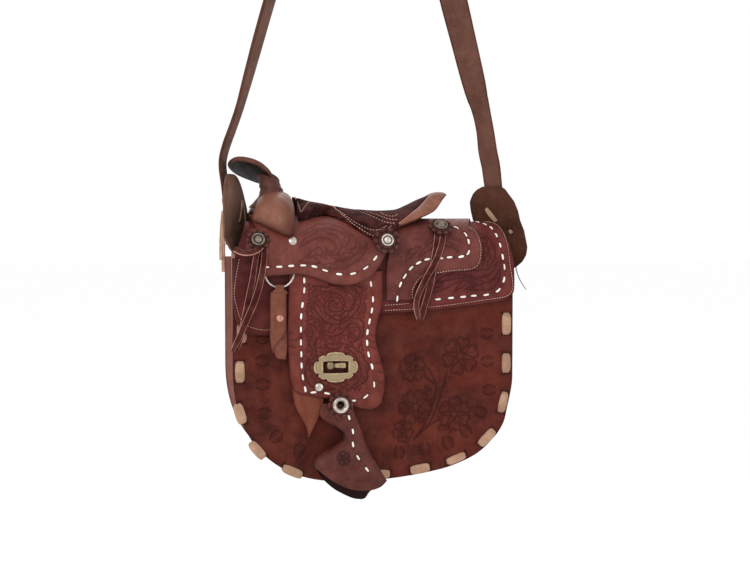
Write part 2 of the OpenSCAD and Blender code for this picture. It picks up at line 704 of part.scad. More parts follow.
// Cantle: a dished rim across the saddle's rear, its wings coming forward and down
cantle_x = 52;
cantle_t = 17;
cantle_reach = 0.34;
function cantle_line(w) = cantle_x - cantle_w * 0.36 * pow(w, 2.2);
function cantle_thick(w) = cantle_t * mix(0.55, 1, 1 - pow(w, 1.7));
function cantle_ring(u) =
    let (w = abs(u), y = cantle_w / 2 * sin(90 * u) , h = 1 - pow(w, 1.7))
    let (x = cantle_line(w), top = mix(cantle_h * 0.47, cantle_h, h), thick = cantle_thick(w))
    let (s = spring_h + arch_len * (0.5 + cantle_reach * u))
    let (foot = arch_point(x - thick * 0.9, s, jockey_out + 4 * lie_gap))
    let (heel = arch_point(x + thick * 0.1, s, jockey_out + 4 * lie_gap))
    let (up = max(top, foot[2] + cantle_t * 0.3))
    [foot, mix(foot, [x - thick * 0.5, y, up], 0.6), [x - thick * 0.5, y, up], [x - thick * 0.1, y, up + 1],
        [x + thick * 0.4, y, up + 0.4], [x + thick * 0.5, y * 1.01, up - 1.6],
        mix(heel, [x + thick * 0.3, y, up], 0.5), heel];
module cantle() {
    color([0.52, 0.35, 0.28]) hung() skin([for (k = [-10:10]) cantle_ring(k / 10)]);
}

// Scalloped leather rosette and the metal concho on it
function scallops(dia) =
    loop_curve([for (a = [0:18:342])
        let (r = dia / 2 * (0.96 + 0.05 * cos(10 * a)))
        [r * cos(a), r * sin(a)]], 2);
module rosette(place, off) {
    on_layer(place[0], place[1], off) linear_extrude(rosette_t) difference() {
        polygon(scallops(rosette_dia));
        circle(r = rivet_shaft_r, $fn = 32);
    }
}
concho_shares = [[0, 0], [0.5, 0], [0.5, 0.05], [0.46, 0.09], [0.42, 0.08], [0.38, 0.13], [0.28, 0.19],
    [0.15, 0.23], [0, 0.24]];
module concho(place, off) {
    on_layer(place[0], place[1], off) translate([0, 0, rosette_t]) {
        rotate_extrude($fn = 64) polygon(scaled(concho_shares, concho_dia, concho_dia));
        translate([0, 0, -rosette_t * 0.9]) cylinder(r = rivet_shaft_r, h = rosette_t, $fn = 32);
    }
}
front_at = [-102, 17.5];
seat_at = [6, 17];
rear_at = [57, 30];
module front_rosette() {
    color([0.25, 0.13, 0.11]) hung() rosette(front_at, jockey_out + spot_gap);
}
module front_concho() {
    color([0.3, 0.24, 0.2]) hung() concho(front_at, jockey_out + spot_gap);
}
module seat_rosette() {
    color([0.25, 0.13, 0.11]) hung() rosette(seat_at, seat_spot);
}
module seat_concho() {
    color([0.65, 0.63, 0.6]) hung() concho(seat_at, seat_spot);
}
module rear_rosette() {
    color([0.25, 0.13, 0.11]) hung() rosette(rear_at, rear_spot);
}
module rear_concho() {
    color([0.35, 0.3, 0.26]) hung() concho(rear_at, rear_spot);
}
seat_spot = pad_base + seat_t * 1.1;
// The rear rosette lies over both strings at the arch's steepest place
string_slack = 1.5;
rear_spot = band_out + 3 * spot_gap + 2 * string_t + string_slack;

// Domed rivet with a shaft that reaches back through depth d
rivet_shares = [[0, 0], [0.5, 0], [0.5, 0.06], [0.42, 0.16], [0.26, 0.23], [0, 0.26]];
module rivet(dia, d) {
    rotate_extrude($fn = 48) polygon(scaled(rivet_shares, dia, dia));
    translate([0, 0, -d]) cylinder(r = rivet_shaft_r * 0.9, h = d + spot_gap, $fn = 32);
}
jockey_rivet_at = [-73, 17];
module jockey_rivet() {
    color([0.7, 0.68, 0.66]) hung() on_layer(jockey_rivet_at[0], jockey_rivet_at[1], jockey_out + spot_gap)
        rivet(rivet_dia, 0);
}
module fender_rivet() {
    color([0.66, 0.64, 0.6]) hung() translate([tongue_x, -arch_a - fender_out, tongue_rivet_z])
        rotate([90, 0, 0]) rivet(rivet_dia, fender_t + lie_gap + tongue_t);
}

// Cinch ring in its keeper, and the billet looped through it
ring_x = -84;
ring_z = -9;
ring_y = -(arch_a + ring_off);
ring_r = (ring_dia - wire_t) / 2;
module cinch_ring() {
    color([0.6, 0.56, 0.5]) hung() translate([ring_x, ring_y, ring_z]) rotate([90, 0, 0])
        rotate_extrude($fn = 72) translate([ring_r, 0]) circle(d = wire_t, $fn = 24);
}
module ring_keeper() {
    color([0.34, 0.18, 0.15]) hung() translate([ring_x - keeper_w / 2, ring_y, ring_z + ring_r])
        rotate([90, 0, 90]) linear_extrude(keeper_w) difference() {
            circle(r = wire_t / 2 + keeper_gap + keeper_t, $fn = 48);
            circle(r = wire_t / 2 + keeper_gap, $fn = 48);
        }
}
keeper_w = 2.4;
// The billet's neck is narrow and roomy, so that it swings on the curved wire
loop_gap = 0.6;
loop_r = wire_t / 2 + loop_gap;
neck_w = billet_w * 0.5;
neck_l = 4;
billet_pin_z = -47;
module billet_legs(w, top, bottom, back_bottom) {
    translate([ring_x - w / 2, 0, 0]) rotate([90, 0, 90]) linear_extrude(w) {
        translate([ring_y - loop_r - billet_t, bottom]) square([billet_t, top - bottom]);
        translate([ring_y + loop_r, back_bottom]) square([billet_t, top - back_bottom]);
    }
}
module billet() {
    z = ring_z - ring_r;
    color([0.5, 0.29, 0.24]) hung() difference() {
        union() {
            translate([ring_x - neck_w / 2, ring_y, z]) rotate([90, 0, 90]) linear_extrude(neck_w)
                difference() {
                    circle(r = loop_r + billet_t, $fn = 48);
                    circle(r = loop_r, $fn = 48);
                    translate([-loop_r - billet_t, -loop_r - billet_t])
                        square([2 * (loop_r + billet_t), loop_r + billet_t]);
                }
            billet_legs(neck_w, z, z - neck_l, z - neck_l);
            billet_legs(billet_w, z - neck_l, z - billet_l, z - billet_l * 0.86);
        }
        translate([ring_x, 0, billet_pin_z]) rotate([90, 0, 0])
            cylinder(r = rivet_shaft_r, h = 2 * body_d, $fn = 32);
        for (c = [[0.5, 0.7], [-0.5, 0.45]]) translate([ring_x + billet_w * c[0], 0, z - billet_l])
            rotate([90, 45, 0]) cube([billet_w * c[1], billet_w * c[1], 4 * body_d], center = true);
    }
}
module billet_rivet() {
    face = ring_y - loop_r - billet_t - spot_gap / 2;
    color([0.6, 0.36, 0.26]) hung() translate([ring_x, face, billet_pin_z]) rotate([90, 0, 0])
        rivet(rivet_dia * 0.85, 2 * loop_r + 2 * billet_t);
}

// Stirrup: an eyelet through the fender, a rosette under its head and the hooded cover
eye_head = 6.8;
module stirrup_eyelet() {
    top = arch_a + fender_out + hood_lay + rosette_t + 3 * spot_gap;
    back = arch_a + fender_in - plate_t;
    color([0.68, 0.66, 0.62]) hung() translate([eye_x, 0, eye_z]) rotate([90, 0, 0]) {
        difference() {
            union() {
                translate([0, 0, back]) cylinder(r = eye_r - 0.1, h = top - back + plate_t, $fn = 64);
                translate([0, 0, top]) rotate_extrude($fn = 64)
                    polygon([[0, 0], [eye_head, 0], [eye_head, plate_t * 0.4], [eye_r * 1.3, plate_t],
                        [0, plate_t]]);
            }
            translate([0, 0, back - over])
                cylinder(r = eye_r * 0.62, h = top - back + 2 * plate_t + 2 * over, $fn = 48);
        }
    }
}
module stirrup_rosette() {
    color([0.3, 0.15, 0.13]) hung() translate([eye_x, -arch_a - fender_out - hood_lay - 2 * spot_gap, eye_z])
        rotate([90, 0, 0]) linear_extrude(rosette_t) difference() {
            polygon(scallops(rosette_dia * 1.03));
            circle(r = eye_r, $fn = 48);
        }
}
hood_t = 1.8;
hood_seam = 0.3;
hood_lay = lie_gap + 2 * hood_t + hood_seam;
hood_left_shares = [[0, -0.12], [0.14, -0.12], [0.2, -0.22], [0.28, -0.36], [0.4, -0.43],
    [0.7, -0.3], [1, -0.2]];
hood_right_shares = [[0, 0.2], [0.2, 0.3], [0.45, 0.42], [0.7, 0.56], [1, 0.66]];
hood_rim_shares = [[0, -0.86], [30, -0.93], [90, -0.86], [150, -0.66], [180, -0.6], [225, -0.8],
    [270, -0.97], [330, -1], [360, -0.9]];
hood_depth_shares = [[0, 0.01], [0.15, 0.01], [0.32, 0.02], [0.5, 0.4], [0.75, 0.8], [1, 1]];
hood_top = eye_z + 9;
module tapadero() {
    cols = 28;
    rows = 14;
    function spot(v, q, k) =
        let (a = mix(0.5, 359.5, q), d = (hood_d / 2 - hood_t) * profile(hood_depth_shares, v))
        let (pinch = pow((1 - cos(a)) / 2, 0.5), f = d * sin(a) * pinch)
        let (m = a < 90 ? 1 : a > 270 ? -1 : clamp(sin(a) / 0.35, -1, 1))
        let (xl = eye_x + hood_w * profile(hood_left_shares, v) + (1 - k) * hood_t)
        let (xr = eye_x + hood_w * profile(hood_right_shares, v))
        let (yc = -(arch_a + fender_out + lie_gap + hood_t + hood_seam / 2 + d))
        [mix(xr, xl, (1 - cos(a)) / 2), yc - f - m * (k * hood_t + hood_seam / 2),
            hood_top + v * hood_h * 1.12 * profile(hood_rim_shares, a)];
    color([0.3, 0.16, 0.14]) hung() difference() {
        shell([for (i = [0:cols]) [for (j = [0:rows]) spot(1 - j / rows, i / cols, 1)]],
            [for (i = [0:cols]) [for (j = [0:rows]) spot(1 - j / rows, i / cols, 0)]]);
        translate([eye_x, 0, eye_z]) rotate([90, 0, 0]) cylinder(r = eye_r, h = 2 * body_d, $fn = 48);
    }
}

// Leather strings that hang from the conchos, each over its own route of x, height and offset
string_lie = band_out + spot_gap + string_t / 2;
front_route_1 = [[-103, 9, 5.8], [-105, 0, 5.8], [-107, -14, 5], [-110, -30, 2.4], [-113, -46, 1],
    [-117, -62, 1.1], [-120, -73, 1.6]];
front_route_2 = [[-97, 9, 5.8], [-98, -2, 5.8], [-101, -18, 5], [-106, -34, 4.4], [-112, -48, 3.4],
    [-118, -62, 3.2], [-124, -74, 3.4]];
rear_route_1 = [[55, 28, 0], [52, 18, 0], [49, 2, 0], [47, -15, 0], [43, -30, 0],
    [40, -40, 0], [38, -50, 0.4]];
rear_route_2 = [[59, 28, 1.8], [56, 16, 1.8], [50, 0, 1.8], [42, -14, 1.8], [35, -28, 1.8], [33, -38, 1.8],
    [35, -50, 2]];
function string_line(route) =
    [for (p = open_curve(route, 3)) arch_point(p[0], seen_on(p[1], string_lie + p[2]), string_lie + p[2])];
module hanging_string(route) {
    line = string_line(route);
    strip(line, [for (p = line) [1, 0, 0]], [for (p = line) string_w], string_t);
}
module front_strings() {
    color([0.38, 0.22, 0.19]) hung() {
        hanging_string(front_route_1);
        hanging_string(front_route_2);
    }
}
module rear_strings() {
    color([0.33, 0.2, 0.17]) hung() {
        hanging_string(rear_route_1);
        hanging_string(rear_route_2);
    }
}

// Ears: the gusset's ends, standing up past the mouth and turned so that their front edges swing out
ear_t = 2;
ear_foot_x = body_half - seam_margin - leather_t / 2;
ear_rise_shares = [[0, 0], [0.2, 0.3], [0.4, 0.85], [0.52, 1], [1, 1]];
strap_foot = 38;
strap_foot_x = body_half + 4.5;
// Turn of each ear at its top, in degrees
ear_turn_left = 24;
ear_turn_right = 46;
ear_half = depth_half - 2 * leather_t;
module ear(side, turn) {
    cols = 10;
    rows = 10;
    function spot(u, v, k) =
        let (e = profile(ear_rise_shares, v), a = turn * e, z = top_lip + spot_gap + v * (ear_h - top_lip))
        let (round = sqrt(max(1 - pow(max(v - 0.55, 0) / 0.452, 2.2), 0)))
        let (lay = (strap_t + ear_t) / 2 + 3 * spot_gap, w = ear_half * (u > 0 ? 0.84 : 1) * u * round)
        let (x = mix(ear_foot_x, strap_foot_x - lay / cos(turn), e))
        [side * (x - w * sin(a) + (k - 0.5) * ear_t * cos(a)), w * cos(a) + (k - 0.5) * ear_t * sin(a), z];
    outer = [for (i = [0:cols]) [for (j = [0:rows]) spot(2 * i / cols - 1, j / rows, 1)]];
    inner = [for (i = [0:cols]) [for (j = [0:rows]) spot(2 * i / cols - 1, j / rows, 0)]];
    if (side > 0) shell(inner, outer);
    else shell(outer, inner);
}
module strap_ear_left() {
    color([0.27, 0.16, 0.14]) hung() ear(-1, ear_turn_left);
}
module strap_ear_right() {
    color([0.28, 0.16, 0.13]) hung() ear(1, ear_turn_right);
}

// Strap: two arms that rise from the ears' outer faces and meet over the shoulder
apex_r = 16;
strap_bend_z = 100;
strap_bend_x = body_half - 1;
apex_z = strap_drop + strap_t / 2;
arm_top_z = apex_z - apex_r;
function strap_arm_x(z) = z <= strap_bend_z
    ? mix(strap_foot_x, strap_bend_x, ease((z - ear_h) / (strap_bend_z - ear_h)))
    : mix(strap_bend_x, apex_r, (z - strap_bend_z) / (arm_top_z - strap_bend_z));
arm_heights = concat([for (k = [0:5]) mix(strap_foot, strap_bend_z, k / 5)],
    [for (k = [1:8]) mix(strap_bend_z, arm_top_z, k / 8)]);
arm_count = len(arm_heights);
strap_line = concat([for (z = arm_heights) [-strap_arm_x(z), 0, z]],
    [for (a = [150:-20:30]) [apex_r * cos(a), 0, apex_z - apex_r + apex_r * sin(a)]],
    [for (i = [arm_count - 1:-1:0]) [strap_arm_x(arm_heights[i]), 0, arm_heights[i]]]);
// Turn of the strap's face along each arm, in degrees
turn_left = [[0, ear_turn_left], [0.15, 28], [0.32, 30], [0.7, 20], [0.9, 0], [1, 0]];
turn_right = [[0, ear_turn_right], [0.1, 50], [0.2, 66], [0.35, 76], [0.7, 40], [0.9, 0], [1, 0]];
function strap_turn(p) =
    profile(p[0] < 0 ? turn_left : turn_right, (p[2] - strap_foot) / (strap_drop - strap_foot));
function strap_side(p) = let (t = strap_turn(p)) [sign(p[0]) * -sin(t), cos(t), 0];
function strap_out(p) = let (t = strap_turn(p)) [sign(p[0]) * cos(t), sin(t), 0];
// Height over which the strap widens from its ends
widening = 0.35 * strap_drop;
module shoulder_strap() {
    color([0.35, 0.23, 0.2]) hung() strip(strap_line, [for (p = strap_line) strap_side(p)],
        [for (p = strap_line) mix(strap_end_w, strap_w, ease((p[2] - strap_foot) / widening))], strap_t);
}
// Tie lacing on the outside of each strap end
module strap_ties() {
    lay = (strap_t + string_t) / 2 + spot_gap;
    color([0.28, 0.16, 0.13]) hung() for (s = [-1, 1]) {
        p = [for (k = [0:4]) [s * strap_foot_x, 0, strap_foot + string_w * (0.6 + k * 0.8)]];
        strip([for (q = p) q + strap_out(q) * lay], [for (q = p) strap_side(q)],
            [for (q = p) string_w], string_t);
    }
}

front_panel();
back_panel();
gusset();
front_lacing();
back_lacing();
back_skirt();
lock_base();
lock_backing();
lock_toggle();
flap_skirt();
rear_jockey();
seat_jockey();
saddle_tree();
seat();
swell();
horn_post();
horn_cap();
cantle();
front_rosette();
front_concho();
seat_rosette();
seat_concho();
rear_rosette();
rear_concho();
jockey_rivet();
ring_keeper();
cinch_ring();
billet();
billet_rivet();
fender_top();
fender();
fender_tongue();
lock_plate();
lock_plate_backing();
fender_rivet();
stirrup_rosette();
stirrup_eyelet();
tapadero();
front_strings();
rear_strings();
strap_ear_left();
strap_ear_right();
strap_ties();
shoulder_strap();
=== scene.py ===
"""A small shoulder bag in the shape of a western saddle, with horn, seat, cantle and hooded stirrup."""

import math

import bpy
import numpy as np
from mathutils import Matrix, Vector


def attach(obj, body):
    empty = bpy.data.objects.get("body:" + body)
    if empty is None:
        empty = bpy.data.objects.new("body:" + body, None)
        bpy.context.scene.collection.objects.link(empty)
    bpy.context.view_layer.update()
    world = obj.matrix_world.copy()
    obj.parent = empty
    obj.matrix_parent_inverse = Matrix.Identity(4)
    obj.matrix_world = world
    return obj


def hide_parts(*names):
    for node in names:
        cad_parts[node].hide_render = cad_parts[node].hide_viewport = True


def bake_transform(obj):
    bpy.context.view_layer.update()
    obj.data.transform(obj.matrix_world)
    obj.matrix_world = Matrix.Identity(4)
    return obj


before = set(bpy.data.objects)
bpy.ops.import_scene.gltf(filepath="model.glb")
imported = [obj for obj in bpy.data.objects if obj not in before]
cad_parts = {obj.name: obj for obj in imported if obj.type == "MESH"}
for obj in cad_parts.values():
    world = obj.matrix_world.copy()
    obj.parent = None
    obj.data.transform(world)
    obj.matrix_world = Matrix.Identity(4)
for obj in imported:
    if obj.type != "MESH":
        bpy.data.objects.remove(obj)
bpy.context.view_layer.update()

# Lengths are millimetres in the bag's own frame, with height 0 at its mouth, unless said otherwise.
MM = 0.001
HANG = 480.0
FRONT = (0, -1, 0)
DICE = np.random.default_rng(7)

# The saddle's leathers lie over an arch: a fall in front, a half ellipse over the mouth, a fall behind.
ARCH_DEPTH = 39.9
ARCH_RISE = 23.6
SPRING = 8.0
ARCH_LENGTH = math.pi * (ARCH_DEPTH + ARCH_RISE) / 2
JOCKEY_LIFT = 2.4
PANEL_FACE = 37.4
SKIRT_IN, SKIRT_OUT = 0.0, 2.4
BAND_IN, BAND_OUT = 2.7, 5.1
JOCKEY_IN, JOCKEY_OUT = 5.7, 8.1
PAD_BASE = 9.0
STITCH_SINK = 0.05

# Where the photograph was taken from, as slopes, and the plane on which its points are read
PHOTO_X, PHOTO_Z, PIXEL = 375, 262, 0.87
TURN_SLOPE, TIP_SLOPE = 0.2035, 0.0436
TRACED_Y = -40.0

# Places that more than one piece uses
PANEL_BACK = 35.0
MOUTH_LEFT, MOUTH_RIGHT = (-122.5, 3), (122.5, 3)
LOCK_X, LOCK_Z, BAR_Z = -36.3, -89.3, -87.6
EYE_X, EYE_Z = -33, -121
BILLET_X = -84


# ---------------------------------------------------------------- curves and places


def ease(t):
    """A soft step: 0 below 0, 1 above 1."""
    t = np.clip(t, 0, 1)
    return t * t * (3 - 2 * t)


def unit(v, least=0.0):
    """The same vectors, one long."""
    return v / (np.linalg.norm(v, axis=-1, keepdims=True) + least)


def run_along(line):
    """Distance along a line at each of its points."""
    return np.concatenate([[0], np.cumsum(np.linalg.norm(np.diff(line, axis=0), axis=1))])


def smooth(points, spacing=0.8, closed=False):
    """A smooth curve through the points, with even steps along it."""
    p = np.asarray(points, float)
    if closed:
        q = np.vstack([p[-1:], p, p[:2]])
    else:
        q = np.vstack([2 * p[0] - p[1], p, 2 * p[-1] - p[-2]])
    bits = []
    for a, b, c, d in zip(q[:-3], q[1:-2], q[2:-1], q[3:]):
        n = max(int(np.linalg.norm(c - b) / spacing * 2), 2)
        t = np.linspace(0, 1, n, endpoint=False)[:, None]
        bits.append(
            (2 * b + (c - a) * t + (2 * a - 5 * b + 4 * c - d) * t**2 + (3 * b - a - 3 * c + d) * t**3) / 2
        )
    bits.append(p[:1] if closed else p[-1:])
    return even(np.vstack(bits), spacing)


def even(line, spacing=None, count=None):
    """The same line with its points at even steps."""
    line = np.asarray(line, float)
    run = run_along(line)
    count = count or max(int(round(run[-1] / spacing)), 2) + 1
    at = np.linspace(0, run[-1], count)
    return np.stack([np.interp(at, run, line[:, k]) for k in range(line.shape[1])], axis=1)


def table(rows, u):
    """Smooth value between the rows of (place, value)."""
    rows = np.asarray(rows, float)
    fine = smooth(rows, spacing=max(np.ptp(rows[:, 0]) / 400, 1e-6))
    order = np.argsort(fine[:, 0])
    return np.interp(u, fine[order, 0], fine[order, 1])


def arch(x, s, off, lifted=False):
    """Points at x, at place s over the arch and at height off above the skirt's underside."""
    x, s, off = (np.asarray(v, float) for v in np.broadcast_arrays(x, s, off))
    if lifted:
        off = off + JOCKEY_LIFT * (1 - ease((s - SPRING) / ARCH_LENGTH * 4))
    t = np.clip((s - SPRING) / ARCH_LENGTH, 0, 1) * math.pi
    below = np.minimum(s - SPRING, 0) + np.minimum(ARCH_LENGTH + SPRING - s, 0)
    return np.stack([x, -(ARCH_DEPTH + off) * np.cos(t), SPRING + (ARCH_RISE + off) * np.sin(t) + below], -1)


def seen(z, off=SKIRT_OUT):
    """Place over the arch of a point that shows at height z from the front."""
    z = np.asarray(z, float)
    rise = np.arcsin(np.clip((z - SPRING) / (ARCH_RISE + off), 0, 1)) / math.pi * ARCH_LENGTH
    return np.where(z <= SPRING, z, SPRING + rise)


def patch(low, right, high, left, cols, rows, crowd=1.0):
    """Grid of points between four edges. low and high run left to right, left and right run upwards."""
    u = np.linspace(0, 1, cols + 1)
    v = np.linspace(0, 1, rows + 1)
    u = u + crowd * 0.12 * -np.sin(2 * math.pi * u)
    v = v + crowd * 0.12 * -np.sin(2 * math.pi * v)
    pick = lambda line, t: np.stack([np.interp(t, np.linspace(0, 1, len(line)), line[:, k]) for k in (0, 1)],
                                    -1)
    lo, hi, le, ri = (pick(even(e, count=600), t) for e, t in ((low, u), (high, u), (left, v), (right, v)))
    U, V = u[:, None, None], v[None, :, None]
    corners = (1 - U) * (1 - V) * lo[0] + U * (1 - V) * lo[-1] + (1 - U) * V * hi[0] + U * V * hi[-1]
    return (1 - V) * lo[:, None] + V * hi[:, None] + (1 - U) * le[None] + U * ri[None] - corners


# ---------------------------------------------------------------- tooling


class Tooling:
    """A sheet of depths and shades for one leather: the dark that the carving tools leave, and painted shade.
    """

    def __init__(self, x0, z0, x1, z1, step=0.3):
        self.x0, self.z0, self.step = x0, z0, step
        self.shape = (int((x1 - x0) / step) + 2, int((z1 - z0) / step) + 2)
        self.depth = np.zeros(self.shape)
        self.shade = np.zeros(self.shape)

    def near(self, line, reach):
        """Distance to a line from everywhere within reach of it, and the side it lies on."""
        line = even(line, self.step)
        gone = np.full(self.shape, float(reach))
        side = np.zeros(self.shape)
        way = np.gradient(line, axis=0)
        r = int(reach / self.step) + 1
        for (x, z), (dx, dz) in zip(line, way):
            i, j = int((x - self.x0) / self.step), int((z - self.z0) / self.step)
            i0, i1 = max(i - r, 0), min(i + r + 1, self.shape[0])
            j0, j1 = max(j - r, 0), min(j + r + 1, self.shape[1])
            if i0 >= i1 or j0 >= j1:
                continue
            X = self.x0 + np.arange(i0, i1)[:, None] * self.step - x
            Z = self.z0 + np.arange(j0, j1)[None] * self.step - z
            d = np.hypot(X, Z)
            old = gone[i0:i1, j0:j1]
            closer = d < old
            old[closer] = d[closer]
            side[i0:i1, j0:j1][closer] = (dx * Z - dz * X)[closer]
        return gone, np.sign(side)

    def cut(self, line, width=0.7, depth=0.6, bevel=0.0, shade=1.0):
        """A knife cut; bevel presses the leather down on the cut's left and paints shade there."""
        d, side = self.near(line, 7 * width if bevel else 3 * width)
        groove = -depth * np.exp(-((d / width) ** 2))
        pressed = -abs(bevel) * np.exp(-d / (2.2 * width)) * (side * np.sign(bevel or 1) > 0)
        self.depth = np.minimum(self.depth, np.minimum(groove, pressed if bevel else 0))
        # Painted shade: a soft darkening spread over a bevel's pressed side, beside the cut's own dark line.
        soft = 0.5 * min(abs(bevel) * 1.6, 1) * np.exp(-d / (2.4 * width)) * (side * np.sign(bevel or 1) > 0)
        self.shade = np.maximum(self.shade, shade * np.maximum(np.exp(-((d / (1.15 * width)) ** 2)), soft))
        return self

    def raise_along(self, line, width, height):
        """A soft ridge along a line."""
        d, _ = self.near(line, 3 * width)
        self.depth = self.depth + height * np.exp(-((d / width) ** 2))
        return self

    def read(self, x, z, what="depth"):
        """The sheet's value at each point."""
        a = getattr(self, what)
        i = np.clip((np.asarray(x) - self.x0) / self.step, 0, self.shape[0] - 1.001)
        j = np.clip((np.asarray(z) - self.z0) / self.step, 0, self.shape[1] - 1.001)
        i0, j0 = i.astype(int), j.astype(int)
        f, g = i - i0, j - j0
        return (
            a[i0, j0] * (1 - f) * (1 - g) + a[i0 + 1, j0] * f * (1 - g)
            + a[i0, j0 + 1] * (1 - f) * g + a[i0 + 1, j0 + 1] * f * g
        )


def flower(tools, x, z, r, petals, turn=0.0):
    """An open flower: notched petals round a small seeded heart."""
    for k in range(petals):
        a = turn + 2 * math.pi * k / petals
        half = math.pi / petals * 0.86
        turns = np.array([-0.25, -0.72, -1.0, -0.72, -0.3, 0.0, 0.3, 0.72, 1.0, 0.72, 0.25]) * half
        reach = np.array([0.26, 0.5, 0.78, 0.98, 1.02, 0.9, 1.02, 0.98, 0.78, 0.5, 0.26]) * r
        tools.cut(smooth(np.stack([x + reach * np.cos(a + turns), z + reach * np.sin(a + turns)], 1), 0.5),
                  0.55, 0.75, bevel=0.45)
        vein = [[x + q * r * math.cos(a), z + q * r * math.sin(a)] for q in (0.34, 0.5, 0.66)]
        tools.cut(smooth(vein, 0.5), 0.4, 0.3, shade=0.6)
    ring = np.linspace(0, 2 * math.pi, 40)
    tools.cut(np.stack([x + 0.2 * r * np.cos(ring), z + 0.2 * r * np.sin(ring)], 1), 0.5, 0.6)
    return tools


def leaf(tools, x, z, length, turn, width=0.34, bend=0.25):
    """A pointed leaf with a curved middle vein."""
    u = np.linspace(0, 1, 14)
    along, sway = u * length, bend * length * u * (1 - u)
    c, s = math.cos(turn), math.sin(turn)
    for side in (-1, 1):
        across = side * width * length * np.sin(math.pi * u**0.8) * 0.5 + sway
        tools.cut(np.stack([x + along * c - across * s, z + along * s + across * c], 1), 0.45, 0.6,
                  bevel=-0.3 * side)
    tools.cut(np.stack([x + along * c - sway * s, z + along * s + sway * c], 1)[:10], 0.35, 0.3, shade=0.6)
    return tools


def frond(tools, points, wide=5.0, lobes=4, turn=1, depth=0.75, shade=0.8):
    """A carved acanthus leaf along a line, lobed on its outer side, with veins that run out to the lobes."""
    line = smooth(points, 0.5)
    way = unit(np.gradient(line, axis=0))
    out = np.stack([-way[:, 1], way[:, 0]], 1) * turn
    t = np.linspace(0, 1, len(line))
    half = wide * table([(0, 0.12), (0.15, 0.3), (0.4, 0.52), (0.7, 0.42), (0.9, 0.2), (1, 0)], t)
    lobed = line + out * (half * (0.85 + 0.75 * np.abs(np.sin(lobes * math.pi * t)) ** 0.8))[:, None]
    plain = line - out * (0.55 * half)[:, None]
    tools.raise_along(line, 0.45 * wide, 0.3)
    tools.cut(lobed, 0.7, depth, bevel=0.55 * turn, shade=shade)
    tools.cut(plain, 0.75, depth, bevel=-0.6 * turn, shade=shade)
    tools.cut(line[: int(0.9 * len(line))], 0.5, 0.35, shade=0.6 * shade)
    for k in range(lobes):
        i, j = (int(min(max((k + q) / lobes, 0), 1) * (len(line) - 1)) for q in (0.0, 0.5))
        tools.cut(smooth([line[i], line[(i + j) // 2] + out[i] * half[i] * 0.35, lobed[j] - out[j] * 0.5],
                         0.4), 0.5, 0.35,
                  shade=0.7 * shade)
    return tools


# ---------------------------------------------------------------- materials


def srgb(r, g, b):
    """A colour read on the 0 to 255 scale."""
    return tuple((v / 255 / 12.92 if v <= 10 else ((v / 255 + 0.055) / 1.055) ** 2.4)
                 for v in (r, g, b)) + (1.0,)


class Tree:
    """A few short words for placing shader nodes."""

    def __init__(self, tree):
        self.tree = tree

    def add(self, kind, sets=None, **inputs):
        """A node with its settings and its inputs."""
        node = self.tree.nodes.new(kind)
        for k, v in (sets or {}).items():
            setattr(node, k, v)
        for k, v in inputs.items():
            self.put(node, k.replace("_", " "), v)
        return node

    def put(self, node, key, value):
        """Links a socket to an input, or sets the input to a value."""
        if isinstance(value, bpy.types.NodeSocket):
            self.tree.links.new(value, node.inputs[key])
        else:
            node.inputs[key].default_value = value

    def sum(self, kind, a, b=0.0, c=None):
        node = self.tree.nodes.new("ShaderNodeMath")
        node.operation = kind
        for k, v in enumerate((a, b) if c is None else (a, b, c)):
            self.put(node, k, v)
        return node.outputs[0]

    def blend(self, share, a, b, kind="MIX"):
        node = self.tree.nodes.new("ShaderNodeMix")
        node.data_type, node.blend_type = "RGBA", kind
        for k, v in ((0, share), (6, a), (7, b)):
            self.put(node, k, v)
        return node.outputs[2]

    def span(self, value, low, high, new_low=0.0, new_high=1.0):
        """The value's smooth share of the way from low to high."""
        node = self.tree.nodes.new("ShaderNodeMapRange")
        node.interpolation_type = "SMOOTHSTEP"
        for k, v in enumerate((value, low, high, new_low, new_high)):
            self.put(node, k, v)
        return node.outputs[0]

    def noise(self, where, scale, detail=3.0, rough=0.55, warp=0.0):
        return self.add("ShaderNodeTexNoise", Vector=where, Scale=scale, Detail=detail, Roughness=rough,
                        Distortion=warp).outputs[0]


def group(name, inputs, outputs):
    """An empty shader group with its sockets, its words and its two ends."""
    tree = bpy.data.node_groups.new(name, "ShaderNodeTree")
    for label, kind, value in inputs:
        s = tree.interface.new_socket(label, in_out="INPUT", socket_type="NodeSocket" + kind)
        if value is not None:
            s.default_value = value
    for label, kind in outputs:
        tree.interface.new_socket(label, in_out="OUTPUT", socket_type="NodeSocket" + kind)
    return tree, Tree(tree), tree.nodes.new("NodeGroupInput").outputs, tree.nodes.new("NodeGroupOutput")


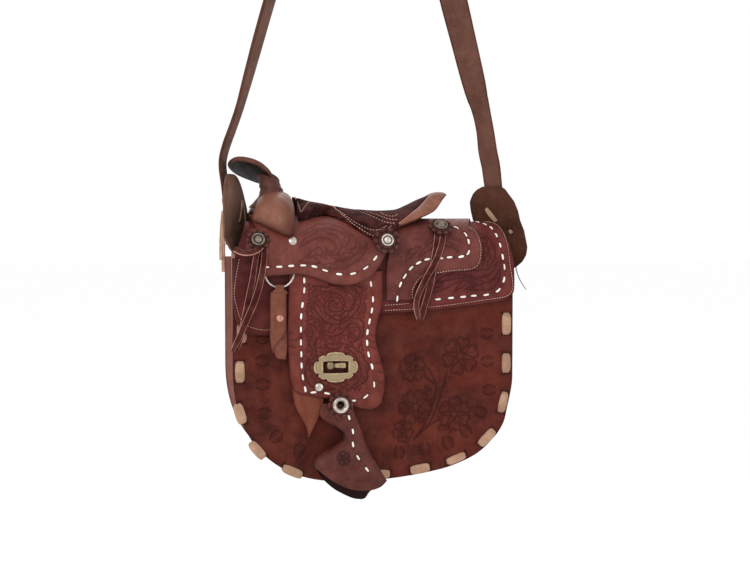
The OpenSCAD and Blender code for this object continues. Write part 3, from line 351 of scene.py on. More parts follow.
def leather_group():
    """Tanned hide: cloudy dye, pores, creases, dark knife cuts and burnished edges, with painted shade laid in
    through the cut and rim masks.
    """
    tree, t, given, out = group(
        "tanned_hide",
        [("Dye", "Color", (0.2, 0.06, 0.03, 1)), ("Deep", "Color", (0.05, 0.02, 0.01, 1)),
         ("Worn", "Color", (0.4, 0.2, 0.1, 1)), ("Cloud", "Float", 0.5), ("Wear", "Float", 0.3),
         ("Grain", "Float", 1.0), ("Gloss", "Float", 0.5)],
        [("Color", "Color"), ("Roughness", "Float"), ("Height", "Float")],
    )
    where = t.add("ShaderNodeTexCoord").outputs["Object"]
    cut = t.add("ShaderNodeAttribute", {"attribute_name": "cut"}).outputs["Fac"]
    rim = t.add("ShaderNodeAttribute", {"attribute_name": "rim"}).outputs["Fac"]
    cloud = t.span(t.noise(where, 22, 5, 0.62, 0.4), 0.36, 0.66)
    patches = t.span(t.noise(where, 75, 4, 0.6), 0.38, 0.68)
    streak = t.add("ShaderNodeMapping", {"vector_type": "POINT"}, Vector=where,
                   Scale=(1.0, 1.0, 0.22)).outputs[0]
    streaks = t.span(t.noise(streak, 160, 3, 0.6, 0.6), 0.42, 0.7)
    colour = t.blend(t.sum("MULTIPLY", cloud, given["Cloud"]), given["Dye"], given["Deep"])
    colour = t.blend(t.sum("MULTIPLY", patches, t.sum("MULTIPLY", given["Wear"], 0.8)), colour, given["Worn"])
    colour = t.blend(t.sum("MULTIPLY", streaks, 0.16), colour, given["Deep"])
    fine = t.noise(where, 900, 2, 0.5)
    colour = t.blend(t.span(fine, 0.35, 0.75, 0.0, 0.2), colour, given["Worn"])
    # The rim mask darkens burnished edges and painted shade; the cut mask darkens knife cuts and painted shade.
    colour = t.blend(t.sum("MULTIPLY", rim, 0.62), colour, given["Deep"])
    colour = t.blend(t.sum("MULTIPLY", cut, 0.8), colour, given["Deep"])
    t.put(out, "Color", colour)
    pores = t.add("ShaderNodeTexVoronoi", {"feature": "DISTANCE_TO_EDGE"}, Vector=where,
                  Scale=1300).outputs[0]
    pebble = t.span(pores, 0.0, 0.16)
    crease = t.add("ShaderNodeTexVoronoi", {"feature": "DISTANCE_TO_EDGE"}, Vector=where,
                   Scale=310).outputs[0]
    height = t.sum("ADD", t.sum("MULTIPLY", pebble, 0.5), t.sum("MULTIPLY", t.span(crease, 0.0, 0.07), 0.35))
    height = t.sum("ADD", height, t.sum("MULTIPLY", t.noise(where, 420, 4, 0.6), 0.9))
    t.put(out, "Height", t.sum("MULTIPLY", height, given["Grain"]))
    rough = t.sum("ADD", given["Gloss"], t.span(t.noise(where, 120, 4, 0.6), 0.3, 0.7, -0.07, 0.12))
    rough = t.sum("ADD", rough, t.sum("MULTIPLY", cut, 0.15))
    t.put(out, "Roughness", rough)
    return tree


def nap_group():
    """Suede or raw cut fibre: brushed light and dark patches over a soft nap."""
    tree, t, given, out = group(
        "brushed_nap",
        [("Dark", "Color", (0.03, 0.01, 0.01, 1)), ("Light", "Color", (0.1, 0.04, 0.04, 1)),
         ("Nap", "Float", 1.0)],
        [("Color", "Color"), ("Roughness", "Float"), ("Height", "Float")],
    )
    where = t.add("ShaderNodeTexCoord").outputs["Object"]
    cut = t.add("ShaderNodeAttribute", {"attribute_name": "cut"}).outputs["Fac"]
    brushed = t.span(t.noise(where, 60, 4, 0.6, 1.2), 0.35, 0.7)
    fibre = t.noise(where, 1500, 3, 0.7)
    share = t.sum("MULTIPLY", brushed, t.span(fibre, 0.3, 0.75, 0.35, 1.0))
    colour = t.blend(share, given["Dark"], given["Light"])
    # The cut mask darkens wrinkles, and paints shade where a lace dives into its slot.
    colour = t.blend(t.sum("MULTIPLY", cut, 0.6), colour, given["Dark"])
    t.put(out, "Color", colour)
    t.put(out, "Roughness", t.span(fibre, 0.3, 0.7, 0.82, 0.98))
    t.put(out, "Height", t.sum("MULTIPLY", t.sum("ADD", fibre, t.noise(where, 500, 3, 0.6)), given["Nap"]))
    return tree


def metal_group():
    """Cast or spun metal: tarnish in the hollows, fine scratches and a hammered unevenness."""
    tree, t, given, out = group(
        "aged_metal",
        [("Bright", "Color", (0.6, 0.5, 0.3, 1)), ("Tarnish", "Color", (0.1, 0.08, 0.05, 1)),
         ("Age", "Float", 0.5), ("Polish", "Float", 0.3)],
        [("Color", "Color"), ("Roughness", "Float"), ("Height", "Float")],
    )
    where = t.add("ShaderNodeTexCoord").outputs["Object"]
    blotch = t.span(t.noise(where, 260, 5, 0.65, 0.5), 0.35, 0.68)
    hollow = t.add("ShaderNodeAttribute", {"attribute_name": "cut"}).outputs["Fac"]
    dull = t.sum("MAXIMUM", t.sum("MULTIPLY", blotch, given["Age"]), hollow)
    t.put(out, "Color", t.blend(dull, given["Bright"], given["Tarnish"]))
    scratched = t.add("ShaderNodeMapping", Vector=where, Scale=(1.0, 1.0, 9.0)).outputs[0]
    scratch = t.noise(scratched, 700, 2, 0.7)
    t.put(out, "Roughness", t.sum("ADD", given["Polish"],
                                  t.sum("MULTIPLY", t.sum("ADD", scratch, dull), 0.16)))
    t.put(out, "Height", t.sum("ADD", t.noise(where, 480, 3, 0.5), t.sum("MULTIPLY", scratch, 0.3)))
    return tree


HIDE, NAP, METAL = leather_group(), nap_group(), metal_group()


def finish(name, tree, bump, distance, inputs, **surface):
    """A material that reads its colour, roughness and relief from one of the groups."""
    mat = bpy.data.materials.new(name)
    mat.use_nodes = True
    t = Tree(mat.node_tree)
    skin = mat.node_tree.nodes["Principled BSDF"]
    made = t.add("ShaderNodeGroup", {"node_tree": tree})
    for k, v in inputs.items():
        made.inputs[k].default_value = v
    t.put(skin, "Base Color", made.outputs["Color"])
    t.put(skin, "Roughness", made.outputs["Roughness"])
    relief = t.add("ShaderNodeBump", Strength=bump, Distance=distance, Height=made.outputs["Height"])
    t.put(skin, "Normal", relief.outputs[0])
    for k, v in surface.items():
        skin.inputs[k.replace("_", " ")].default_value = v
    return mat


def shown(r, g, b):
    """Dye that shows as this colour once the studio's own sheen lies over it."""
    return tuple(max(v - 0.0075, 0.3 * v) for v in srgb(r, g, b)[:3]) + (1.0,)


def hide(name, dye, deep, worn, cloud=0.5, wear=0.3, grain=1.0, gloss=0.5, bump=0.4, coat=0.08):
    """Smooth leather in a dye, the colour of its hollows and the colour where it is worn."""
    return finish(name, HIDE, bump, 0.0004, {"Dye": shown(*dye), "Deep": shown(*deep), "Worn": shown(*worn),
                  "Cloud": cloud, "Wear": wear, "Grain": grain, "Gloss": gloss},
                  Specular_IOR_Level=0.1, Coat_Weight=coat * 0.3, Coat_Roughness=0.3)


def nap(name, dark, light, depth=1.0, bump=0.5):
    """Suede, thread or a leather's raw cut edge."""
    return finish(name, NAP, bump, 0.0004, {"Dark": shown(*dark), "Light": shown(*light), "Nap": depth},
                  Specular_IOR_Level=0.05, Sheen_Weight=0.03, Sheen_Roughness=0.5)


def metal(name, bright, tarnish, age, polish, bump=0.12):
    """An aged metal."""
    return finish(name, METAL, bump, 0.0003, {"Bright": srgb(*bright), "Tarnish": srgb(*tarnish), "Age": age,
                  "Polish": polish}, Metallic=1.0)


BODY_HIDE = hide("panel_hide", (82, 35, 28), (46, 17, 14), (108, 58, 47), 0.75, 0.4, 1.0, 0.52)
GUSSET_HIDE = hide("gusset_hide", (146, 100, 91), (86, 48, 41), (160, 116, 106), 0.4, 0.4, 1.0, 0.55)
SKIRT_HIDE = hide("skirt_hide", (90, 40, 39), (38, 12, 12), (122, 66, 60), 0.6, 0.45, 1.0, 0.46)
JOCKEY_HIDE = hide("jockey_hide", (106, 55, 49), (48, 18, 17), (134, 82, 74), 0.4, 0.4, 1.0, 0.42, coat=0.2)
BAND_HIDE = hide("band_hide", (103, 56, 52), (44, 15, 15), (130, 78, 71), 0.5, 0.35, 1.0, 0.46)
FENDER_HIDE = hide("fender_hide", (107, 50, 45), (50, 11, 8), (134, 75, 64), 0.45, 0.4, 1.0, 0.42, coat=0.15)
TONGUE_HIDE = hide("tongue_hide", (114, 62, 48), (66, 31, 24), (140, 88, 70), 0.4, 0.45, 1.0, 0.45)
HOOD_HIDE = hide("hood_hide", (80, 41, 37), (32, 12, 11), (116, 68, 60), 0.45, 0.4, 1.0, 0.38, coat=0.3)
# Painted shade: a dark hide for the hood's inside and the disc in the eyelet's throat.
HOOD_INSIDE_SHADE = hide("hood_inside_painted_shade", (44, 22, 20), (24, 10, 10), (62, 36, 33), 0.4, 0.3, 1.4, 0.6)
SWELL_HIDE = hide("swell_hide", (122, 80, 66), (72, 40, 33), (146, 100, 82), 0.55, 0.45, 0.8, 0.34, coat=0.4)
# Its deep colour also paints the shade under the horn's cap.
HORN_HIDE = hide("horn_hide", (88, 55, 49), (22, 7, 8), (120, 80, 70), 0.45, 0.45, 0.9, 0.42, coat=0.15)
CANTLE_HIDE = hide("cantle_hide", (130, 86, 69), (64, 33, 27), (158, 112, 92), 0.4, 0.5, 0.9, 0.4, coat=0.15)
BILLET_HIDE = hide("billet_hide", (112, 66, 53), (64, 33, 27), (138, 90, 74), 0.4, 0.45, 1.0, 0.42)
STRAP_HIDE = hide("strap_hide", (96, 64, 54), (58, 37, 31), (120, 84, 72), 0.5, 0.4, 1.1, 0.6)
EAR_HIDE = hide("ear_hide", (84, 53, 42), (42, 25, 20), (108, 74, 60), 0.55, 0.35, 1.4, 0.66)
# Painted light: a lighter copy of the ear hide for the left ear.
EAR_HIDE_PAINTED_LIGHT = hide("ear_hide_painted_light", (122, 92, 79), (74, 50, 41), (146, 114, 98), 0.55, 0.35, 1.4, 0.66)
ROSETTE_HIDE = hide("rosette_hide", (90, 50, 45), (26, 10, 10), (118, 76, 68), 0.4, 0.35, 1.0, 0.5)
STRING_HIDE = nap("string_hide", (62, 32, 30), (98, 60, 54), 0.8)
STRING_EDGE = nap("string_edge", (140, 98, 92), (190, 148, 138), 0.9)
LACE_HIDE = nap("lace_hide", (146, 114, 94), (190, 156, 132), 0.8, 0.4)
SUEDE = nap("seat_suede", (42, 18, 19), (92, 52, 48), 1.2)
THREAD_WHITE = nap("white_thread", (214, 206, 196), (250, 246, 238), 0.5, 0.25)
THREAD_PALE = nap("pale_thread", (176, 136, 120), (214, 178, 160), 0.4, 0.2)
BRASS = metal("antique_brass", (196, 174, 138), (74, 60, 44), 0.55, 0.32)
NICKEL = metal("nickel", (204, 194, 184), (76, 60, 54), 0.5, 0.22)
DARK_METAL = metal("dark_metal", (138, 124, 114), (40, 30, 28), 0.6, 0.34)
COPPER = metal("copper", (196, 148, 128), (110, 66, 54), 0.4, 0.3)


# ---------------------------------------------------------------- pieces


def piece(name, points, faces, body, material, replaces=(), masks=None, flat=False):
    """A mesh in millimetres of the bag, set in its place under the strap, riding on its body."""
    points = np.asarray(points, float).reshape(-1, 3)
    mesh = bpy.data.meshes.new(name)
    mesh.vertices.add(len(points))
    mesh.vertices.foreach_set("co", ((points - (0, 0, HANG)) * MM).astype(np.float32).ravel())
    faces = [np.asarray(f, int) for f in (faces if isinstance(faces, list) else [faces])]
    loops = np.concatenate([f.ravel() for f in faces])
    sizes = np.concatenate([np.full(len(f), f.shape[1]) for f in faces])
    mesh.loops.add(len(loops))
    mesh.loops.foreach_set("vertex_index", loops.astype(np.int32))
    mesh.polygons.add(len(sizes))
    mesh.polygons.foreach_set("loop_start", (np.cumsum(sizes) - sizes).astype(np.int32))
    mesh.update(calc_edges=True)
    mesh.validate()
    mesh.polygons.foreach_set("use_smooth", np.full(len(mesh.polygons), not flat))
    # Masks that darken colour: knife cuts and burnished edges, and painted shade where a piece lays it in.
    for label in ("cut", "rim"):
        values = np.zeros(len(points)) if masks is None or label not in masks else np.ravel(masks[label])
        mesh.attributes.new(label, "FLOAT", "POINT").data.foreach_set("value", values.astype(np.float32))
    mesh.materials.append(material)
    made = bpy.data.objects.new(name, mesh)
    bpy.context.scene.collection.objects.link(made)
    if body:
        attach(made, body)
    if replaces:
        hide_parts(*replaces)
    return made


def quads(rows, cols, start=0, wrap=False, flip=False):
    """Faces of a grid of rows by cols points."""
    i = np.arange(rows - 1)[:, None] * cols
    j = np.arange(cols if wrap else cols - 1)[None]
    k = (j + 1) % cols
    f = np.stack([i + j, i + cols + j, i + cols + k, i + k], -1).reshape(-1, 4) + start
    return f[:, ::-1] if flip else f


def looks(points, face):
    """The way a face looks."""
    a, b, c = np.asarray(points).reshape(-1, 3)[face[:3]]
    return np.cross(b - a, c - a)


def skin(grid, spot, way=None, closed=False):
    """Faces round the rings of a grid, closed from its last ring to its first or with an end at each.

    At face number spot they look the given way, or else away from the middle of their ring.
    """
    rows, n = grid.shape[:2]
    if closed:
        faces = [quads(rows + 1, n, wrap=True) % (rows * n)]
    else:
        faces = [quads(rows, n, wrap=True), np.arange(n)[None], np.arange(n)[None, ::-1] + (rows - 1) * n]
    if way is None:
        way = grid.reshape(-1, 3)[faces[0][spot]].mean(0) - grid[spot // n].mean(0)
    return faces if looks(grid, faces[0][spot]) @ way > 0 else [f[:, ::-1] for f in faces]


def two(outer, inner=0.0):
    """A mask for both grids of a shell."""
    return np.concatenate([np.ravel(outer), np.ravel(inner + 0 * outer)])


def shell(outer, inner):
    """Points and faces of a closed leather between its outer and inner grids."""
    rows, cols = outer.shape[:2]
    half = rows * cols
    rim = np.concatenate([np.arange(cols), np.arange(1, rows) * cols + cols - 1,
                          (rows - 1) * cols + np.arange(cols - 2, -1, -1), np.arange(rows - 2, 0, -1) * cols])
    nxt = np.roll(rim, -1)
    a, b = quads(rows, cols), quads(rows, cols, half, flip=True)
    side = np.stack([rim, nxt, nxt + half, rim + half], 1)
    i, j = rows // 2, cols // 2
    face_way = np.cross(outer[i + 1, j] - outer[i, j], outer[i, j + 1] - outer[i, j])
    faces = np.vstack([a, b, side])
    if face_way @ (outer[i, j] - inner[i, j]) < 0:
        faces = faces[:, ::-1]
    return np.concatenate([outer.reshape(-1, 3), inner.reshape(-1, 3)]), faces


def rim_gap(grid, reach):
    """Distance of each point of a flat grid from its outline, up to reach."""
    g = np.asarray(grid)
    line = np.concatenate([g[:, 0], g[-1, 1:], g[-2::-1, -1], g[0, -2::-1]])
    low, high = g.reshape(-1, 2).min(0) - reach, g.reshape(-1, 2).max(0) + reach
    sheet = Tooling(low[0], low[1], high[0], high[1], 0.25)
    gone, _ = sheet.near(line, reach)
    sheet.depth = gone
    d = sheet.read(g[..., 0], g[..., 1])
    d[:, 0] = d[:, -1] = d[0, :] = d[-1, :] = 0
    return d


def cut_leather(name, grid, place, low, high, tools, body, material, replaces=(), edge=1.1, burnish=1.6,
                lumps=0.0):
    """A leather cut to a flat grid and laid in place, with rounded, burnished edges and its tooling."""
    x, s = grid[..., 0], grid[..., 1]
    gap = rim_gap(grid, max(edge, 3 * burnish))
    drop = edge - np.sqrt(np.maximum(edge**2 - np.maximum(edge - gap, 0) ** 2, 0))
    press = tools.read(x, s) if tools else 0.0
    top = high - np.minimum(drop, high - low - 0.2) + press * ease(gap / 1.5)
    if lumps:
        top = top + lumps * wavy(x, s)
    points, faces = shell(place(x, s, top), place(x, s, np.full_like(x, low)))
    cut = tools.read(x, s, "shade") * ease(gap) if tools else np.zeros_like(x)
    rim = np.exp(-gap / burnish) * (gap < 3 * burnish - 0.01)
    return piece(name, points, faces, body, material, replaces, {"cut": two(cut), "rim": two(rim, 0.6)})


def wavy(x, s):
    """Gentle unevenness of a hand-worked hide, between about -1 and 1."""
    return (
        np.sin(x / 17.0 + 0.8 * np.sin(s / 23.0)) * 0.4
        + np.sin(s / 13.0 + 1.3 * np.sin(x / 31.0) + 2.0) * 0.35 + np.sin((x + s) / 7.3 + 0.5) * 0.15
        + np.sin((x - 1.4 * s) / 5.1) * 0.1
    )


def stitch_run(points, pitch, length):
    """A seam's line, its run and where its stitches lie: at its own points where these are a stitch apart."""
    points = np.asarray(points, float)
    gaps = np.linalg.norm(np.diff(points, axis=0), axis=1)
    if gaps.mean() < 0.75 * pitch or pitch < 5:
        line = smooth(points, 0.4)
        run = (len(line) - 1) * 0.4
        count = max(int(run / pitch), 1)
        return line, run, [(k + 0.5) * run / count for k in range(count)]
    first = points[0] + (points[0] - points[1]) / gaps[0] * length * 0.55
    last = points[-1] + (points[-1] - points[-2]) / gaps[-1] * length * 0.55
    line = smooth(np.vstack([first, points, last]), 0.4)
    mids = []
    for p in points:
        mid = np.argmin(np.linalg.norm(line - p, axis=1)) * 0.4
        if not mids or mid - mids[-1] > 0.7 * pitch:
            mids.append(mid)
    return line, (len(line) - 1) * 0.4, mids


def dashes(name, lines, body, place, material=THREAD_WHITE, pitch=9.9, length=5.6, width=1.75, rise=0.75):
    """Stitches on top of a leather: one soft lozenge for each, its ends dipping into their holes."""
    points = []
    rows, n = 9, 8
    u = np.linspace(-1, 1, rows)[:, None]
    a = np.linspace(0, 2 * math.pi, n, endpoint=False)[None]
    full = (1 - np.abs(u) ** 3.2) ** 0.5
    for line in lines:
        line, run, mids = stitch_run(line, pitch, length)
        for mid in mids:
            at = np.clip(mid + u[:, 0] * length / 2, 0, run) / run * (len(line) - 1)
            x, s = (np.interp(at, np.arange(len(line)), line[:, q]) for q in (0, 1))
            dx, ds = np.gradient(x), np.gradient(s)
            norm = np.hypot(dx, ds) + 1e-9
            across = np.cos(a) * full * width / 2 * (1 + 0.08 * DICE.standard_normal())
            up = rise * (0.42 + 0.5 * np.sin(a)) * full - 0.35 * np.abs(u) ** 2.5
            ring = place(x[:, None] - ds[:, None] / norm[:, None] * across,
                         s[:, None] + dx[:, None] / norm[:, None] * across, up)
            points.append(ring.reshape(-1, 3))
    points = np.concatenate(points)
    starts = np.arange(0, len(points), rows * n)
    faces = np.vstack([quads(rows, n, start, wrap=True) for start in starts])
    ends = [(np.arange(n) + starts[:, None])[:, ::-1], np.arange(n) + starts[:, None] + (rows - 1) * n]
    checked = faces[18]
    if looks(points, checked) @ (points[checked].mean(0) - points[:rows * n].mean(0)) < 0:
        faces, ends = faces[:, ::-1], [e[:, ::-1] for e in ends]
    return piece(name, points, [faces] + ends, body, material)


def holes(tools, lines, pitch=9.9, length=5.6, size=0.75, depth=0.5):
    """The pricked holes and the pull of each stitch in the leather, with painted shade in each hole."""
    for line in lines:
        line, run, mids = stitch_run(line, pitch, length)
        for mid in mids:
            for e in (-1, 1):
                at = np.clip((mid + e * length / 2) / run, 0, 1) * (len(line) - 1)
                p = [np.interp(at, np.arange(len(line)), line[:, q]) for q in (0, 1)]
                # Painted shade in each hole.
                tools.cut(np.array([p, [p[0] + 0.2, p[1] + 0.2]]), size, depth, shade=0.9)
    return tools


def at(*pixels):
    """Places on the bag's front as the photograph shows them, given across and down from its corner."""
    return [((x - PHOTO_X) * PIXEL, (PHOTO_Z - y) * PIXEL) for x, y in pixels]


def over(*pixels, off=SKIRT_OUT, lifted=False):
    """Places (x, place over the arch) on a saddle leather that the photograph shows at these points."""
    x, z = np.array(at(*pixels), float).T
    y = np.full_like(x, TRACED_Y)
    for _ in range(4):
        s = seen(z - TIP_SLOPE * (y - TRACED_Y), off)
        y = arch(x, s, off, lifted)[:, 1]
    return np.stack([x + TURN_SLOPE * (y - TRACED_Y), s], 1)


# ---------------------------------------------------------------- camera, light and floor


def set_camera():
    """The photograph's view: from the bag's left front, a little above it."""
    turn, tip, far = math.radians(-11.5), math.radians(2.5), 1.10
    aim = Vector((-0.0013, -0.040, -0.4973))
    way = Vector((math.sin(turn) * math.cos(tip), -math.cos(turn) * math.cos(tip), math.sin(tip)))
    camera = bpy.data.objects.new("camera", bpy.data.cameras.new("camera"))
    bpy.context.scene.collection.objects.link(camera)
    camera.location = aim + way * far
    camera.rotation_euler = (-way).to_track_quat("-Z", "Y").to_euler()
    camera.data.sensor_width = 36
    camera.data.lens = 61.9
    camera.data.clip_end = 50
    bpy.context.scene.camera = camera


def set_light():
    """A white studio with a window, a weaker fill and a light from behind."""
    bpy.context.scene.view_settings.view_transform = "Standard"
    world = bpy.data.worlds.new("studio")
    bpy.context.scene.world = world
    world.use_nodes = True
    world.node_tree.nodes["Background"].inputs["Color"].default_value = (1, 1, 1, 1)
    world.node_tree.nodes["Background"].inputs["Strength"].default_value = 1.0
    for name, place, size, power in (
        ("window", (-1.4, -1.6, 0.9), 1.5, 26),
        ("fill", (1.8, -1.2, -0.1), 1.8, 9),
        ("back", (0.6, 1.8, 0.8), 1.5, 9),
    ):
        lamp = bpy.data.lights.new(name, "AREA")
        lamp.energy, lamp.size = power, size
        made = bpy.data.objects.new(name, lamp)
        made.location = place
        made.rotation_euler = (Vector((0, 0, -0.5)) - Vector(place)).to_track_quat("-Z", "Y").to_euler()
        bpy.context.scene.collection.objects.link(made)


def floor():
    """A wide plain pale floor, well below the hanging bag."""
    mesh = bpy.data.meshes.new("floor")
    reach, z = 30.0, -1.35
    mesh.from_pydata([(-reach, -reach, z), (reach, -reach, z), (reach, reach, z), (-reach, reach, z)], [],
                     [(0, 1, 2, 3)])
    paper = bpy.data.materials.new("floor_paper")
    paper.use_nodes = True
    paper.node_tree.nodes["Principled BSDF"].inputs["Base Color"].default_value = (0.99, 0.99, 0.99, 1)
    paper.node_tree.nodes["Principled BSDF"].inputs["Roughness"].default_value = 0.9
    mesh.materials.append(paper)
    made = bpy.data.objects.new("floor", mesh)
    bpy.context.scene.collection.objects.link(made)


# ---------------------------------------------------------------- strings


def ribbon(name, line, out, widths, thick, body, materials, replaces=(), curl=0.0):
    """A flat thong along a line. out is the way its face looks; a second material is for its cut edges."""
    line, out = np.asarray(line, float), np.asarray(out, float)
    way = unit(np.gradient(line, axis=0))
    across = unit(np.cross(way, out))
    face = np.cross(across, way)
    w = np.broadcast_to(np.asarray(widths, float), len(line))[:, None] / 2
    ring = [(-1, -0.32), (-1, 0.32), (-0.86, 0.5), (-0.3, 0.5), (0.3, 0.5), (0.86, 0.5), (1, 0.32),
            (1, -0.32), (0.86, -0.5), (0.3, -0.5), (-0.3, -0.5), (-0.86, -0.5)]
    grid = np.stack([line + across * (a * w) + face * (b * thick + curl * (a * a - 0.4)) for a, b in ring], 1)
    faces = skin(grid, 2)
    made = piece(name, grid, faces, body, materials[0], replaces)
    if len(materials) > 1:
        made.data.materials.append(materials[1])
        cut_edge = np.isin(np.arange(len(faces[0])) % len(ring), (11, 0, 1, 5, 6, 7))
        made.data.polygons.foreach_set("material_index", np.concatenate([cut_edge, [1, 1]]).astype(np.int32))
    return made


STRING_LIE = BAND_OUT + 0.2 + 0.7
FRONT_ROUTES = (
    [(-103, 9, 5.8), (-105, 0, 5.8), (-107, -14, 5), (-110, -30, 2.4), (-113, -46, 1), (-117, -62, 1.1),
     (-120, -73, 1.6)],
    [(-97, 9, 5.8), (-98, -2, 5.8), (-101, -18, 5), (-106, -34, 4.4), (-112, -48, 3.4), (-118, -62, 3.2),
     (-124, -74, 3.4)],
)
REAR_ROUTES = (
    [(55, 28, 0), (52, 18, 0), (49, 2, 0), (47, -15, 0), (43, -30, 0), (40, -40, 0), (38, -50, 0.4)],
    [(59, 28, 1.8), (56, 16, 1.8), (50, 0, 1.8), (42, -14, 1.8), (35, -28, 1.8), (33, -38, 1.8),
     (35, -50, 2)],
)


def hanging_strings():
    """Four thongs hang free from the front and rear conchos."""
    for side, routes, node in (("front", FRONT_ROUTES, "front_strings"),
                               ("rear", REAR_ROUTES, "rear_strings")):
        for k, route in enumerate(routes):
            line = smooth(route, 1.2)
            off = STRING_LIE + line[:, 2]
            place = arch(line[:, 0], seen(line[:, 1], off), off)
            place = even(place, 1.4)
            out = np.tile((0.0, -1.0, 0.0), (len(place), 1))
            out[:, 2] = np.clip((place[:, 2] - SPRING) / ARCH_RISE, 0, 1) * 1.6
            lengths = np.linalg.norm(np.diff(place, axis=0), axis=1).sum()
            u = np.linspace(0, 1, len(place))
            width = 5.0 * (1 - 0.10 * np.cos(5 * u + k)) * np.where(u > 0.93, 1 - 0.35 * (u - 0.93) / 0.07, 1)
            made = ribbon(f"{side}_string_{k + 1}", place, out, width, 1.4, "flap",
                          (STRING_HIDE, STRING_EDGE), (node,), curl=0.25)


# ---------------------------------------------------------------- bag body


PANEL_CORNER = [(122.5, -90), (122.3, -104.7), (120.8, -115.3), (118, -127.9), (115, -140.6), (109.8, -150),
                (103, -157.5), (97.1, -163.2), (88.7, -169.4), (78.1, -174.6), (63.4, -179.8), (46.5, -183.4),
                (30.7, -185.8), (12, -187.8), (-10, -188.6)]
STITCHES = at((508.7, 325.7), (508.5, 365.4), (505.4, 404.8), (488.8, 440), (457, 460), (420, 469),
              (379, 473), (335, 474.5), (291.9, 467), (257.6, 445), (241, 409), (241, 368.4), (243, 330),
              (243, 292), (508.7, 287))


def corner_curve(side):
    """A panel's lower corner, from its straight side to its bottom edge."""
    a = np.radians(np.linspace(0, 90, 60))
    x = 24.5 + 98 * np.maximum(np.cos(a), 0) ** (2 / 2.3)
    z = -90 - 100 * np.maximum(np.sin(a), 0) ** (2 / 2.3)
    return np.stack([side * x, z], 1)


def panel_outline(measured):
    """The panel's edge from its left mouth corner down and round to its right mouth corner."""
    left = corner_curve(-1)
    left[:, 1] = np.where(left[:, 1] < -90, -90 + (left[:, 1] + 90) * (0.986 if measured else 1), left[:, 1])
    right = smooth(PANEL_CORNER, 1.0) if measured else corner_curve(1)
    return even(np.vstack([[MOUTH_LEFT], left, right[::-1], [MOUTH_RIGHT]]), 0.5)


def panel_grid(outline, spacing):
    """Flat grid that fills a panel."""
    a = int(np.argmin(np.abs(outline[:, 0] + 98) + np.abs(outline[:, 1] + 158)))
    b = int(np.argmin(np.abs(outline[:, 0] - 98) + np.abs(outline[:, 1] + 160)))
    top = np.array([MOUTH_LEFT, MOUTH_RIGHT], float)
    return patch(outline[a:b + 1], outline[b:], top, outline[:a + 1][::-1], int(245 / spacing),
                 int(185 / spacing), 0.45)


def oval_stamp(tools, x, z, turn=0.0, size=1.0):
    """Two facing crescents round a small slit."""
    c, s = math.cos(turn), math.sin(turn)
    for side in (-1, 1):
        a = np.linspace(-1.15, 1.15, 16)
        p, q = 5.6 * size * np.sin(a), side * 4.4 * size * np.cos(a)
        tools.cut(np.stack([x + p * c - q * s, z + p * s + q * c], 1), 0.65, 0.7, bevel=-0.35 * side)
        p, q = 3.0 * size * np.sin(a), side * (1.2 + 0.9 * np.cos(a)) * size
        tools.cut(np.stack([x + p * c - q * s, z + p * s + q * c], 1), 0.4, 0.4, shade=0.7)


def front_tooling():
    """Border stamps and the spray of flowers on the front panel."""
    tools = Tooling(-125, -192, 125, 6, 0.35)
    for k, (x, z) in enumerate(at((263, 336), (263, 358), (263, 381), (265, 409), (276, 432), (299, 446),
                                  (488, 335), (489, 363), (491, 392), (482, 414), (467, 433), (448, 444),
                                  (425, 449), (398, 452))):
        lean = {4: 0.75, 5: 1.2, 9: -0.3, 10: -0.8, 11: -1.2, 12: -1.5, 13: -1.5}.get(k, 0.0)
        oval_stamp(tools, x, z, lean + 0.08 * DICE.standard_normal())
    stems = (
        [(413, 440), (424, 425), (432, 408), (436, 392), (434, 380), (428, 369)],
        [(416, 437), (430, 422), (438, 404), (443, 388), (447, 373)],
        [(420, 432), (432, 424), (443, 418)],
        [(436, 397), (428, 402)],
        [(434, 384), (424, 376)],
    )
    for stem in stems:
        tools.cut(smooth(at(*stem), 0.5), 0.7, 0.8, bevel=0.35)
    for x, y, turn, size in ((424, 419, 2.3, 9), (440, 398, 0.7, 8), (446, 384, 0.9, 7), (430, 391, 2.4, 7),
                             (409, 441, 2.7, 8), (438, 428, -0.2, 8), (404, 425, 2.0, 6)):
        (px, pz), = at((x, y))
        leaf(tools, px, pz, size, turn, 0.55)
    for x, y, r, petals, turn in ((461, 357, 16, 6, 0.3), (412, 368, 11.5, 5, 0.5), (415, 407, 14.5, 6, 0.1),
                                  (455, 415, 14.5, 6, 0.5), (402, 431, 9, 5, 0.9)):
        (px, pz), = at((x, y))
        flower(tools, px, pz, r, petals, turn)
    return tools


